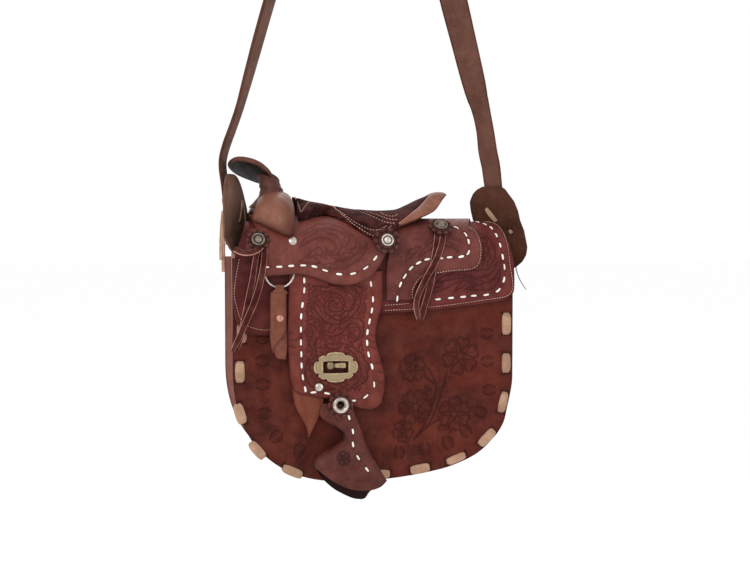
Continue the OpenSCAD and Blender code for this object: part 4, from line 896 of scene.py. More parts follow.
def bag_panels():
    """Front and back panels, each with its pricked lacing slots."""
    for name, measured, sign, spacing in (("front_panel", True, -1, 0.72), ("back_panel", False, 1, 1.8)):
        outline = panel_outline(measured)
        grid = panel_grid(outline, spacing)
        if measured:
            tools = front_tooling()
            spots, turns = STITCHES, [edge_turn(outline, p) for p in STITCHES]
        else:
            tools = Tooling(-125, -192, 125, 6, 0.5)
            spots, turns = back_spots(outline)
        for (x, z), turn in zip(spots, turns):
            for e in (-9.4, 9.4):
                c, s = math.cos(turn), math.sin(turn)
                mid = (x + e * c, z + e * s)
                # Each slot is cut dark with a soft darkening round it: painted shade where the lace goes in.
                tools.cut(np.array([(mid[0] - 4 * -s, mid[1] - 4 * c), (mid[0] + 4 * -s, mid[1] + 4 * c)]),
                          0.9, 1.0)
                tools.cut(np.array([(mid[0] - 3 * -s, mid[1] - 3 * c), (mid[0] + 3 * -s, mid[1] + 3 * c)]),
                          2.4, 0.4, shade=0.35)

        def place(x, s, off, sign=sign):
            low = ease((-58 - s) / 40) * ease((122 - np.abs(x)) / 30) * ease((s + 190) / 30)
            bow = 0.8 * low if sign < 0 else 1.6 * ease((122 - np.abs(x)) / 60) * ease((s + 190) / 60)
            return np.stack([x, sign * (PANEL_BACK + off + bow), s], -1)

        cut_leather(name, grid, place, 0, 2.4, tools, "bag", BODY_HIDE, (name,), edge=1.0,
                    burnish=1.2, lumps=0.12)
        lace(("front" if measured else "back") + "_lacing", spots, turns, sign)


def edge_turn(outline, spot):
    """Angle at which the panel's edge runs beside a point."""
    i = int(np.clip(np.argmin(np.hypot(*(outline - spot).T)), 8, len(outline) - 9))
    dx, dz = outline[i + 8] - outline[i - 8]
    return math.atan2(dz, dx)


def back_spots(outline):
    """Even stitches along the back panel."""
    way = unit(np.gradient(outline, axis=0))
    inner = even(outline + 6.0 * np.stack([-way[:, 1], way[:, 0]], 1), 1.0)
    inner = inner[(inner[:, 1] < 2)]
    picks = np.linspace(12, len(inner) - 13, 15).astype(int)
    return [tuple(inner[i]) for i in picks], [edge_turn(inner, inner[i]) for i in picks]


def lace(name, spots, turns, sign):
    """Broad soft lacing: each stitch rises from one slot, lies flat and dives into the next."""
    u = np.linspace(-1, 1, 25)
    v = np.linspace(-1, 1, 13)
    points, faces, shade = [], [], []
    for (x, z), turn in zip(spots, turns):
        c, s = math.cos(turn), math.sin(turn)
        wide = 4.0 * np.sqrt(np.maximum(1 - 0.72 * np.abs(u) ** 3.4, 0)) * (1 + 0.06 * DICE.standard_normal())
        half = 9.5 * (1 + 0.04 * DICE.standard_normal())
        U, V = np.meshgrid(u, v, indexing="ij")
        W = wide[:, None] * np.ones_like(V)
        top = 1.9 * np.maximum(1 - np.abs(U) ** 5, 0) ** 0.5 * (1 - 0.42 * V**4) - 1.1 * np.abs(U) ** 6 + 0.15
        crease = (0.16 * np.sin(7 * V + 2 * DICE.standard_normal()) * np.cos(2 * U)
                  + 0.1 * np.sin(13 * V + 3 * U))
        top = top + crease * (1 - V**2)
        a, b = U * half + 0.15 * np.sin(5 * V), V * W
        sides = [np.stack([x + a * c - b * s, sign * (PANEL_FACE + height + 0.1), z + a * s + b * c], -1)
                 for height in (top, top * 0 - 1.2)]
        pts, f = shell(*sides)
        faces.append(f + sum(map(len, points)))
        points.append(pts)
        # Darker on the wrinkles, and painted shade at both ends where the lace dives into its slots.
        shade.append(two(np.clip(np.abs(crease) * 2 + np.abs(U) ** 9 * 0.8, 0, 1)))
    piece(name, np.concatenate(points), np.vstack(faces), "bag", LACE_HIDE, (name,),
          {"cut": np.concatenate(shade)})


# ---------------------------------------------------------------- saddle leathers


RIDGE_S = SPRING + ARCH_LENGTH / 2
BACK_S = SPRING + ARCH_LENGTH
SEWN = dict(material=THREAD_PALE, pitch=2.35, length=1.75, width=0.62, rise=0.42)


def on(low, lifted=False):
    """How a flat leather is laid over the arch."""
    return lambda x, s, off: arch(x, s, off + low, lifted)


def foliage(tools, sprays, scale, depth=0.75, shade=0.8, **laid):
    """Carved leaves: the line of each as the photograph shows it, its lobes and its size."""
    for spots, lobes, size in sprays:
        frond(tools, over(*spots, **laid), scale * size, lobes, depth=depth, shade=shade)


def matting(tools, border, size=0.5, depth=0.28, count=900, keep=1.3, shade=0.5):
    """Stippled background between the carved lines, inside a border."""
    border = np.asarray(border, float)
    low, high = border.min(0), border.max(0)
    spots = low + (high - low) * DICE.random((count * 3, 2))
    inside = np.zeros(len(spots), bool)
    for (x0, z0), (x1, z1) in zip(border, np.roll(border, -1, 0)):
        crosses = ((z0 > spots[:, 1]) != (z1 > spots[:, 1])) & (
            spots[:, 0] < (x1 - x0) * (spots[:, 1] - z0) / (z1 - z0 + 1e-9) + x0
        )
        inside ^= crosses
    lined = tools.shade.copy()
    for x, z in spots[inside][:count]:
        i, j = int((x - tools.x0) / tools.step), int((z - tools.z0) / tools.step)
        r = int(keep / tools.step)
        if lined[max(i - r, 0):i + r + 1, max(j - r, 0):j + r + 1].max(initial=0) > 0.5:
            continue
        tools.cut(np.array([(x, z), (x + 0.1, z)]), size, depth, shade=shade)
    return tools


def saddle_skirt():
    """The flap's ground leather, from its front edge over the mouth and down the back, in one piece."""
    left = np.vstack([[(-113.5, -59.5), (-119.5, -50), (-121.5, -38), (-122, -15), (-121, 3)],
                      [(-118, 14), (-113, 32), (-108, RIDGE_S), (-102, 76), (-98, 92), (-96, BACK_S),
                       (-95.5, 140)],
                      [(-95, 163), (-90, 172)]])
    right = np.vstack([[(115.5, -33.5), (121.5, -28), (122.5, -18), (121.5, -1)],
                       [(118.5, 12), (115.5, 26), (110, RIDGE_S - 3), (104, RIDGE_S + 9), (100, 84),
                        (97, BACK_S), (95.5, 140)],
                       [(95, 163), (90, 172)]])
    low = [(-113.5, -59.5), (-106, -61.6), (-90, -62), (-70, -61), (-45, -54), (-20, -48), (6.6, -45),
           (35.6, -43.5), (65.6, -41), (95.5, -37.5), (108, -35.6), (115.5, -33.5)]
    high = [(-90, 172), (-80, 174.8), (0, 175.5), (80, 174.8), (90, 172)]
    left, right, low, high = (smooth(e, 1.0) for e in (left, right, low, high))
    grid = patch(low, right, high, left, 300, 290, 0.45)
    tools = Tooling(-126, -66, 126, 180, 0.35)
    edge_thread = over((383, 310.3), (408, 309.5), (425, 307.7), (438.9, 306.8), (461.8, 304.2),
                       (484.8, 301.2), (505.5, 298.2), (513.2, 292.5), (514.0, 283.3), (511.3, 267.2),
                       (508, 244.3), (504.5, 232.8), (498, 224), (489, 219.5))
    inner_thread = over((383, 305.3), (396, 304.6), (408, 303.8))
    left_thread = over((241, 259), (237, 281), (236.5, 297), (242, 317), (247, 323), (262, 327.6), (272, 327),
                       (288, 326.5))
    buck = over((437, 300), (450.4, 298.8), (462.8, 297.9), (473.9, 296.9), (486.5, 296.2), (499, 292),
                (505, 281), (505.3, 268.4), (503.5, 258.6), (500.9, 246.6), (497.4, 236.3), (493, 228.5),
                (487, 224.5), (480.2, 221.5))
    back_run = [(-86, 168), (-91, 160), (-92, 130), (-92, 110)]
    back_thread = np.vstack([back_run[::-1], [(-80, 171.4), (0, 172), (80, 171.4)],
                             [(86, 168), (91, 160), (92, 130), (92, 110)]])
    for line in (edge_thread, inner_thread, left_thread, back_thread):
        tools.cut(smooth(line, 0.6), 0.9, 0.35, shade=0.45)
    # A dark line along the buckstitch: painted shadow of its stitches.
    tools.cut(smooth(buck, 0.6), 1.3, 0.25, shade=0.22)
    holes(tools, [buck])
    foliage(tools, (
        (((424, 294), (440, 290), (452, 284), (462, 280), (470, 283), (470, 289), (464, 290)), 4, 5.0),
        (((436, 283), (450, 279), (466, 276), (480, 277), (492, 273), (498, 264)), 5, 6.5),
        (((470, 291), (480, 290), (492, 288), (499, 280), (500, 271)), 4, 5.5),
        (((488, 270), (494, 258), (492, 246), (487, 238), (482, 240)), 4, 5.0),
        (((484, 262), (487, 252), (485, 243)), 3, 4.0),
        (((455, 292), (462, 287), (468, 281), (478, 284), (486, 284)), 3, 4.5),
    ), 1.15)
    # Painted shade: the skirt grows darker towards its left and its lower front.
    X = tools.x0 + np.arange(tools.shape[0])[:, None] * tools.step
    S = tools.z0 + np.arange(tools.shape[1])[None] * tools.step
    tools.shade = np.maximum(tools.shade, 0.25 * ease((26 - X) / 14) * ease((SPRING - S) / 20))
    matting(tools, over((430, 297), (484, 294), (500, 288), (502, 270), (498, 246), (488, 230), (484, 244),
                        (483, 262), (474, 270), (440, 277), (428, 280)), count=700)
    # Wrinkles, darkened as painted shade in their folds.
    for x, y in ((396, 262), (402, 268), (390, 282), (404, 287), (396, 250), (412, 252), (420, 245),
                 (250, 296), (262, 300)):
        (px, ps), = over((x, y))
        turn = DICE.uniform(-0.7, 0.4)
        c, s = math.cos(turn), math.sin(turn)
        tools.cut(smooth([(px - 7 * c, ps - 7 * s), (px, ps + 0.8), (px + 7 * c, ps + 7 * s)], 0.5), 0.8,
                  0.22, shade=0.3)
    made = cut_leather("saddle_skirt", grid, arch, SKIRT_IN, SKIRT_OUT, tools, None, SKIRT_HIDE,
                       ("flap_skirt", "back_skirt"), edge=1.1, lumps=0.16)
    bend_at_fold(made)
    lift = on(SKIRT_OUT - STITCH_SINK)
    dashes("skirt_thread", [edge_thread, inner_thread, left_thread], "flap", lift, **SEWN)
    bend_at_fold(dashes("back_thread", [back_thread], None, lift, **SEWN))
    dashes("skirt_buckstitch", [buck], "flap", lift)


def bend_at_fold(made):
    """Bakes a leather's placing into its mesh."""
    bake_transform(made)


def rear_band():
    """The banded rear jockey, with its buckstitched curve and sewn edge."""
    thread = over((411.5, 299.4), (411, 291.4), (415.2, 282.6), (422.5, 276), (434.3, 274.1), (450.4, 271.8),
                  (471, 270), (478.5, 264.5), (480.6, 253.5), (479.4, 242), (475.5, 232.8), (468.7, 227.5),
                  off=BAND_OUT)
    buck = over((395.8, 299), (396.4, 294), (398.9, 285), (403.3, 277), (409.6, 269), (417.3, 263.8),
                (426.3, 260.4), (439.5, 259.6), (448.6, 258.6), (460.7, 258), (468, 254), (468.2, 243),
                (465.5, 235.8), (461, 231.2), (456, 228.5), off=BAND_OUT)
    edge = over((392, 301), (411, 301), (413, 292.5), (417, 284), (423.6, 277.8), (435, 275.9), (451, 273.7),
                (472, 271.7), (480.6, 265.6), (482.6, 254), (481.4, 241.5), (478, 232), (471, 226),
                off=BAND_OUT)
    low = smooth(edge[1:9], 0.8)
    low = np.vstack([[(7.5, edge[0][1])], low])
    right = smooth(np.vstack([edge[8:], [(93, RIDGE_S - 2), (91, RIDGE_S + 12), (88, 90), (86, 100)]]), 1.0)
    left = smooth([(7.5, edge[0][1]), (7.5, -8), (9, 5), (12, 16), (14.5, 26), (14.5, RIDGE_S), (14.5, 100)],
                  1.0)
    high = np.array([(14.5, 100), (86, 100)], float)
    grid = patch(low, right, high, left, 120, 190, 0.4)
    tools = Tooling(2, -40, 98, 106, 0.35)
    tools.cut(smooth(thread, 0.6), 0.8, 0.3, shade=0.4)
    # A dark line along the buckstitch: painted shadow of its stitches.
    tools.cut(smooth(buck, 0.6), 1.3, 0.25, shade=0.25)
    holes(tools, [buck])
    foliage(tools, (
        (((418, 258), (428, 250), (440, 246), (452, 248), (458, 254)), 4, 4.5),
        (((424, 246), (436, 240), (450, 239), (460, 243)), 4, 4.0),
        (((405, 262), (412, 254), (420, 248)), 3, 4.0),
    ), 1.2, 0.45, 0.7, off=BAND_OUT)
    cut_leather("rear_jockey", grid, arch, BAND_IN, BAND_OUT, tools, "flap", BAND_HIDE,
                ("rear_jockey",), edge=1.0, lumps=0.12)
    lift = on(BAND_OUT - STITCH_SINK)
    dashes("band_thread", [thread], "flap", lift, **SEWN)
    dashes("band_buckstitch", [buck], "flap", lift)


def seat_jockey():
    """The tooled jockey under the seat, with its waved, buckstitched edge."""
    o = dict(off=JOCKEY_OUT, lifted=True)
    low = over((265, 276.4), (281, 275.3), (301.4, 274.6), (316.7, 279), (332, 284), (345.3, 285.6),
               (360, 282.4), (371, 276), **o)
    right = np.vstack([over((371, 276), (377.5, 268), (383, 258), (387, 248), (389.5, 238), (391, 230), **o),
                       [(13.5, RIDGE_S - 14), (13.5, RIDGE_S), (13, 80), (10, 100)]])
    left = np.vstack([over((265, 276.4), (264, 267), (266.8, 256), (264, 246), (258, 236), (255, 226), **o),
                      [(-104.5, RIDGE_S - 12), (-105, RIDGE_S), (-104, 80), (-96, 100)]])
    high = np.array([(-96, 100), (10, 100)], float)
    low, right, left = (smooth(e, 0.8) for e in (low, right, left))
    grid = patch(low, right, high, left, 170, 170, 0.4)
    tools = Tooling(-112, -26, 20, 108, 0.35)
    buck = over((267.2, 267.2), (280, 267), (291.7, 266.2), (303.3, 265.8), (314.2, 267), (324.4, 270.8),
                (338.2, 274.5), (352, 274), (364.5, 268.5), (374, 259), (379.5, 249), **o)
    # A dark line along the buckstitch: painted shadow of its stitches.
    tools.cut(smooth(buck, 0.6), 1.3, 0.25, shade=0.2)
    holes(tools, [buck])
    foliage(tools, (
        (((300, 248), (312, 240), (324, 238), (334, 243), (336, 251), (329, 254), (325, 249)), 4, 6.0),
        (((322, 266), (334, 268), (348, 264), (360, 256), (366, 246)), 5, 6.5),
        (((330, 256), (340, 260), (352, 256), (358, 248), (354, 241)), 4, 5.5),
        (((304, 236), (314, 230), (328, 229), (342, 233), (352, 238)), 5, 5.5),
        (((340, 250), (346, 244), (346, 237), (340, 235)), 3, 4.0),
        (((308, 258), (318, 254), (326, 260)), 3, 5.0),
        (((300, 262), (310, 262), (320, 264)), 2, 5.0),
    ), 1.05, 0.65, 0.62, **o)
    matting(tools, over((304, 262), (320, 266), (340, 270), (360, 264), (370, 248), (362, 236), (340, 228),
                        (316, 228), (302, 238), **o),
            count=420, depth=0.16, shade=0.3)
    for pts in (((259, 240), (264, 250), (266, 259)), ((262, 232), (270, 240)), ((288, 250), (280, 256))):
        tools.cut(smooth(over(*pts, **o), 0.5), 0.9, 0.25, shade=0.35)
    cut_leather("seat_jockey", grid, on(0, True), JOCKEY_IN, JOCKEY_OUT, tools, "flap", JOCKEY_HIDE,
                ("seat_jockey", "saddle_tree"), edge=1.1, lumps=0.18)
    dashes("jockey_buckstitch", [buck], "flap", on(JOCKEY_OUT - STITCH_SINK, True))


def fender_and_tongue():
    """The fender and the bare tongue behind its lower left corner."""
    o = dict(off=BAND_OUT)
    left = over((292, 384.5), (289.6, 372), (288.5, 355), (287.3, 340), (287.3, 326), (288, 300), (289, 271),
                **o)
    low = over((292, 384.5), (298, 389.8), (306, 391.6), (320.5, 394.8), (336, 396.6), (347, 399.8),
               (355, 405), (366, 407.6), (374.5, 406), (380, 401), **o)
    right = over((380, 401), (383, 388), (383.2, 374), (379.5, 358), (375.6, 345), (374.3, 336), (376, 322),
                 (380, 308), (381.4, 295), (381.2, 271), **o)
    low, right, left = (smooth(e, 0.8) for e in (low, right, left))
    high = np.array([left[-1], right[-1]])
    grid = patch(low, right, high, left, 130, 190, 0.4)
    tools = Tooling(-80, -130, 10, -2, 0.3)
    buck_left = over((303.8, 280), (303.8, 289.8), (302, 303.8), (300.7, 315), (300.4, 327.7), (300.4, 340.3),
                     (300.8, 351.5), (301, 362.8), (302.2, 374), (304.6, 386), **o)
    buck_low = over((306, 390), (313, 388.9), (320, 389.3), (328, 391), (335, 394), (341, 397.2),
                    (352.6, 398.2), (362, 396), (369.5, 390), **o)
    buck_right = over((372.6, 383), (372.3, 377), (370.5, 364.9), (367, 353), (365.6, 341.7), (365.9, 331.2),
                      (368, 320.7), (370.4, 310), (371.5, 299), (369.4, 284), **o)
    bucks = [buck_left, buck_low, buck_right]
    # A dark line along each buckstitch: painted shadow of its stitches.
    for line in bucks:
        tools.cut(smooth(line, 0.6), 1.4, 0.3, shade=0.3)
    holes(tools, bucks)
    foliage(tools, (
        (((312, 286), (322, 290), (334, 290), (344, 296), (346, 306), (339, 313), (329, 311), (327, 303),
          (333, 300)), 5, 6.5),
        (((312, 300), (318, 312), (328, 320), (340, 320), (352, 312), (358, 300), (354, 288)), 6, 6.0),
        (((320, 330), (330, 334), (340, 330), (346, 322), (356, 322), (360, 332), (354, 340)), 5, 5.0),
        (((309, 322), (314, 332), (310, 342), (316, 350)), 4, 5.0),
        (((344, 346), (352, 350), (358, 358), (362, 370), (358, 380), (348, 386)), 5, 5.5),
        (((308, 356), (306, 368), (310, 380), (320, 385), (334, 387)), 5, 5.0),
        (((328, 284), (340, 284), (350, 282), (360, 288)), 3, 4.5),
        (((324, 344), (334, 346), (342, 342)), 3, 4.0),
    ), 1.2, 0.85, 1.0, **o)
    matting(tools, over((307, 284), (365, 284), (366, 300), (362, 330), (362, 345), (366, 372), (360, 388),
                        (334, 390), (308, 384), (306, 360), (305, 330),
                        **o), count=2600, size=0.75, depth=0.35, keep=0.8, shade=0.95)
    # Crease marks, darkened as painted shade in the creases.
    for pts in (((367, 333), (372, 335), (375, 334)), ((366, 338), (371, 341), (375.5, 341)),
                ((368, 345), (374, 348)), ((287, 336), (293, 338), (299, 337)), ((288, 343), (295, 345)),
                ((287, 331), (292, 331)), ((373, 362), (380, 361)), ((374, 370), (382, 372)),
                ((374, 379), (381, 382))):
        tools.cut(smooth(over(*pts, **o), 0.4), 0.55, 0.5, shade=0.6)
    # Painted shade: the leather seen through the lock plate's slot is made fully dark.
    X = tools.x0 + np.arange(tools.shape[0])[:, None] * tools.step
    S = tools.z0 + np.arange(tools.shape[1])[None] * tools.step
    tools.shade = np.maximum(tools.shade, 1.0 * ((np.abs(X - LOCK_X) < 10.8) & (np.abs(S - LOCK_Z) < 5.1)))

    def place(x, s, off):
        sink = (3.2 * ease((10.9 - np.abs(x - LOCK_X)) / 0.9 + 0.5)
                * ease((5.2 - np.abs(s - LOCK_Z)) / 0.9 + 0.5))
        curl = (0.9 * ease((x + 8) / 12) * ease((-95 - s) / 20)
                + 0.7 * ease((-66 - x) / 8) * ease((s + 80) / 40))
        out = arch(x, s, off + curl)
        out[..., 1] += np.minimum(sink, 2.3)
        return out

    made = cut_leather("fender", grid, place, BAND_IN, BAND_OUT, tools, None, FENDER_HIDE,
                       ("fender", "fender_top"), edge=1.1, burnish=1.8, lumps=0.14)
    bend_at_crease(made)
    face = lambda x, s, off: place(x, s, off + BAND_OUT - STITCH_SINK)
    bend_at_crease(dashes("fender_buckstitch", bucks, None, face))

    side = over((290, 372), (291, 385), (293, 399), (297, 409), (304, 421.7), (307, 434.5), off=0)
    other = over((307, 434.5), (312, 424), (318, 412), (322, 400), (323, 388), (322, 372), off=0)
    n = 70
    lo, ri = even(smooth(side, 0.6), count=n), even(smooth(other[::-1], 0.6), count=n)
    v = np.linspace(0, 1, 36)[:, None, None]
    grid = (1 - v) * lo[None] + v * ri[None]
    grid = grid[:, :-1]
    tools = Tooling(-84, -156, -38, -90, 0.35)
    tools.cut(smooth(over((300, 386), (303, 400), (306, 414), off=0), 0.6), 2.2, 0.3, shade=0.2)

    def hang(x, s, off):
        swing = 1.6 * ease((-110 - s) / 40) * ease((x + 75) / 25)
        return np.stack([x, -(ARCH_DEPTH + 0.4 + off + swing), s], -1)

    cut_leather("fender_tongue", grid, hang, 0, 2.0, tools, "fender", TONGUE_HIDE,
                ("fender_tongue",), edge=0.9, lumps=0.15)


def bend_at_crease(made):
    """Bakes a leather's placing into its mesh."""
    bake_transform(made)


# ---------------------------------------------------------------- seat, cantle, swell and horn


SEAM_RAIL = [(0, 55, 0, 57.5), (0.15, 50.5, 9.5, 54.2), (0.35, 40.5, 20.4, 46.5), (0.55, 31.7, 29.4, 40.6),
             (0.78, 24, 34.5, 35.2), (1, 17.3, 38.2, 30.2)]
REAR_RAIL = [(0, 72, 0, 58.3), (0.15, 66.5, 9.5, 53.8), (0.3, 58, 18, 44.5), (0.5, 47.5, 27, 39.6),
             (0.75, 33, 34.4, 34.4), (1, 18.3, 38.8, 29.8)]


def rail(rows, w):
    """Points of a cantle rail at shares w from the middle (0) to the wing tips (-1 in front, 1 behind)."""
    w = np.asarray(w, float)
    rows = np.asarray(rows)
    x, y, z = (table(np.vstack([rows[::-1, (0, k)] * (-1, m), rows[1:, (0, k)]]), w)
               for k, m in ((1, 1), (2, -1), (3, 1)))
    return np.stack([x, y, z], -1)


def seat_pad():
    """The suede seat: padded at the swell, low in the middle, rising to the cantle, quilted in curves."""
    o = dict(off=PAD_BASE + 1.5, lifted=True)
    low = over((290.5, 200), (293.5, 209.5), (297, 219.2), (300, 220.8), (303.5, 219.2), (309, 215.4),
               (317.7, 213.6), (324, 213.5), (330.7, 215.2), (337, 218), (343.7, 221.7), (350, 226.3),
               (356.8, 231.5), (364, 236.4), (371, 241), (378, 243.6), (384, 242), (389, 236), (394.6, 229.6),
               **o)
    low = smooth(low, 0.6)
    cols, rows = 190, 150
    u, v = np.linspace(0, 1, cols + 1), np.linspace(0, 1, rows + 1)
    front = even(low, count=cols + 1)
    ridge_x = np.interp(u, [0, 1], [-67, 55])  # the seat's length along the top
    V = v[None]
    w = np.abs(2 * V - 1)
    x = ridge_x[:, None] + (front[:, :1] - ridge_x[:, None]) * w**1.6
    s0 = front[:, 1:]
    s = s0 + (2 * (RIDGE_S - s0)) * V
    thick = table([(-68, 16), (-60.6, 13.4), (-52.8, 11.2), (-39.8, 9.0), (-26.7, 6.6), (-13.6, 4.6),
                   (0, 3.4), (12.4, 3.0), (25, 4.0), (34, 7.4), (42, 11.6), (56, 17)], x)
    fall = np.maximum(1 - w**2.4, 0) ** 0.62
    over_base = 1.3 + np.maximum(thick - 1.3, 0) * fall
    tools = Tooling(-78, -4, 64, 120, 0.35)
    lines = seat_lines(o)
    for line, width, depth in lines:
        for side in (line, np.stack([line[:, 0], 2 * RIDGE_S - line[:, 1]], 1)):
            tools.cut(smooth(side, 0.5), width, depth, shade=0.6)
    grid = np.stack([x, s], -1)
    gap = rim_gap(grid, 2.0)
    gap[-1] = 2.0
    roll = 1.3 - np.sqrt(np.maximum(1.3**2 - np.maximum(1.3 - gap, 0) ** 2, 0))
    press = tools.read(x, s)
    top = (PAD_BASE + over_base - np.minimum(roll, over_base - 0.2) + press * ease(gap / 1.5)
           + 0.14 * wavy(x * 1.4, s * 1.4))
    outer = arch(x, s, top, True)
    b = ease((u - 0.80) / 0.2)[:, None, None]
    seam = rail(SEAM_RAIL, 2 * v - 1)[None] + (-0.6, 0, -0.4)
    outer = outer * (1 - b) + seam * b
    inner = arch(x, s, np.full_like(x, PAD_BASE + 0.1), True)
    inner = inner * (1 - b) + (arch(seam[..., 0] - 1.0, s[-1:], PAD_BASE + 0.1, True)) * b
    points, faces = shell(outer, inner)
    shade = tools.read(x, s, "shade") * ease(gap)
    rim = np.exp(-gap / 0.8) * 0.6
    made = piece("seat_pad", points, faces, "flap", SUEDE, ("seat",),
                 {"cut": two(shade), "rim": two(rim)})

    def face(px, ps, up):
        """Lays a stitch on the seat's own surface."""
        px, ps = np.broadcast_arrays(px, ps)
        near = nearest(grid.reshape(-1, 2), np.stack([px.ravel(), ps.ravel()], 1)).reshape(px.shape)
        share = b.repeat(rows + 1, 1).ravel()[near][..., None]
        base = arch(px, ps, top.ravel()[near], True) * (1 - share) + outer.reshape(-1, 3)[near] * share
        out = base - (0, 0, 4)
        out[..., 0] = 0
        return base + unit(out) * up[..., None]

    both = []
    for line, _, _ in lines:
        both += [line, np.stack([line[:, 0], 2 * RIDGE_S - line[:, 1]], 1)]
    dashes("seat_thread", both, "flap", face, THREAD_PALE, pitch=2.5, length=1.9, width=0.66, rise=0.5)


def nearest(flat, spots):
    """Index of the flat point nearest to each spot."""
    found = np.empty(len(spots), int)
    for k in range(0, len(spots), 400):
        part = spots[k:k + 400]
        low, high = part.min(0) - 2.5, part.max(0) + 2.5
        pick = np.flatnonzero(((flat > low) & (flat < high)).all(1))
        if not len(pick):
            pick = np.arange(len(flat))
        d = ((part[:, None] - flat[pick][None]) ** 2).sum(-1)
        found[k:k + 400] = pick[d.argmin(1)]
    return found


def seat_lines(o):
    """The seat's sewn lines, as (line, width, depth)."""
    return [
        (over((290.5, 198), (293, 205), (295.6, 212), (299, 217), (303, 214.6), (309, 210.8), (317, 209.3),
              (325, 209.7), (332, 212), (339, 215.8), (346, 221), (353, 226.5), (361, 232), (368.5, 236.6),
              (377, 238.6), (383, 234.5), (390, 227.5), **o), 0.9, 0.4),
        (over((305.7, 204.4), (311, 204.9), (316, 204.9), (321, 204.6), **o), 0.8, 0.3),
        (over((326, 206.2), (335, 208), (344, 210.2), (356.8, 213.2), (369.8, 217.4), (382.9, 223.2),
              (393.7, 225), **o), 1.4, 1.0),
        (over((350, 211.2), (361, 212.6), (370, 214.4), (378.5, 217.2), (387, 220.5), (396, 221.5), **o), 1.4,
         0.9),
        (over((378.5, 213), (382, 216), (387, 217.6), (392.6, 218), (397, 216), **o), 1.0, 0.6),
        (over((320, 208), (333, 212.5), (346, 219), (358, 226.5), (369, 231.5), (378, 231.5), (386, 227),
              **o), 1.2, 0.8),
    ]


def cantle_roll():
    """The cantle: a broad rolled band that stands up behind the seat and runs out in two wings."""
    w = np.linspace(-1, 1, 161)
    S, R = rail(SEAM_RAIL, w), rail(REAR_RAIL, w)
    mid = (S + R) / 2
    up = unit(np.cross(np.gradient(mid, axis=0), R - S), 1e-9)
    up *= np.sign(up[:, 2:3] + 1e-9)
    span = np.linalg.norm(R - S, axis=1)[:, None]
    y = mid[:, 1]
    base = 8 + 32.6 * np.sqrt(np.clip(1 - (y / 48.9) ** 2, 0, 1))
    heel = np.stack([R[:, 0] - 12.5 * (1 - np.abs(w)) - 1, y, base + 0.2], 1)
    foot = np.stack([np.minimum(S[:, 0] - 2.0, heel[:, 0] - 1.5), y, base + 0.2], 1)
    n = 13
    ring = []
    for k in range(n):
        t = k / (n - 1)
        crown = 0.085 * span * np.sin(math.pi * t) ** 0.8 + 0.9 * ease(t * 6) * ease((1 - t) * 6)
        ring.append(S + (R - S) * t + up * crown)
    tuck = (1 - np.abs(w))[:, None]
    ring.append(R - up * 1.3 - (R - S) / (span + 1e-9) * 0.5)
    ring.append(R * 0.72 + heel * 0.28 - (R - S) / (span + 1e-9) * 1.6 * tuck)
    ring.append(R * 0.35 + heel * 0.65 - (R - S) / (span + 1e-9) * 1.6 * tuck)
    ring.append(heel)
    ring.append(foot)
    ring.append(foot * 0.4 + S * 0.6 + (0.6, 0, 0))
    ring.append(S - up * 1.2)
    grid = np.stack(ring, 1)
    m = grid.shape[1]
    # The rim mask darkens the band's two edges, and the whole underside of the roll as painted shade.
    rim = np.zeros((len(w), m))
    rim[:, 0] = rim[:, n - 1] = 0.8
    rim[:, n:] = 0.75
    faces = skin(grid, 80 * m + 6, up[80])
    made = piece("cantle_roll", grid, faces, "flap", CANTLE_HIDE, ("cantle",), {"rim": rim})
    soften(made, 1)
    seam = S + (R - S) * 0.13 + up * 1.15
    thread_line("cantle_thread", seam[6:-6], up[6:-6], "flap")


def soften(made, levels):
    """Rounds a piece with subdivision and keeps the result in its mesh."""
    mod = made.modifiers.new("round", "SUBSURF")
    mod.levels = mod.render_levels = levels
    mod.boundary_smooth = "PRESERVE_CORNERS"
    bpy.context.view_layer.update()
    done = bpy.data.meshes.new_from_object(made.evaluated_get(bpy.context.evaluated_depsgraph_get()))
    made.modifiers.clear()
    old, made.data = made.data, done
    done.name = old.name


def thread_line(name, line, out, body, width=0.5, pitch=2.3, length=1.7, rise=0.4):
    """Small stitches along a line in space."""
    line, out = np.asarray(line, float), np.asarray(out, float)
    run = run_along(line)
    count = max(int(run[-1] / pitch), 1)
    u = np.linspace(-1, 1, 7)
    a = np.linspace(0, 2 * math.pi, 6, endpoint=False)
    points, faces = [], []
    way = unit(np.gradient(line, axis=0))
    pull = lambda rows, t: np.stack([np.interp(t, run, rows[:, k]) for k in range(3)], 1)
    for k in range(count):
        t = (k + 0.5) * run[-1] / count + u * length / 2
        p, w, n = pull(line, t), pull(way, t), pull(out, t)
        side = unit(np.cross(w, n))
        full = (1 - np.abs(u) ** 3) ** 0.5
        ring = (p[:, None] + side[:, None] * (np.cos(a)[None, :, None] * full[:, None, None] * width / 2)
                + n[:, None] * ((rise * (0.4 + 0.5 * np.sin(a))[None] * full[:, None]
                                 - 0.25 * np.abs(u)[:, None] ** 2)[..., None]))
        points.append(ring.reshape(-1, 3))
        faces.append(quads(7, 6, k * 42, wrap=True))
    ends = [np.array([np.arange(6) + k * 42 for k in range(count)]),
            np.array([np.arange(6) + k * 42 + 36 for k in range(count)])[:, ::-1]]
    return piece(name, np.concatenate(points), [np.vstack(faces)] + ends, body, THREAD_PALE)


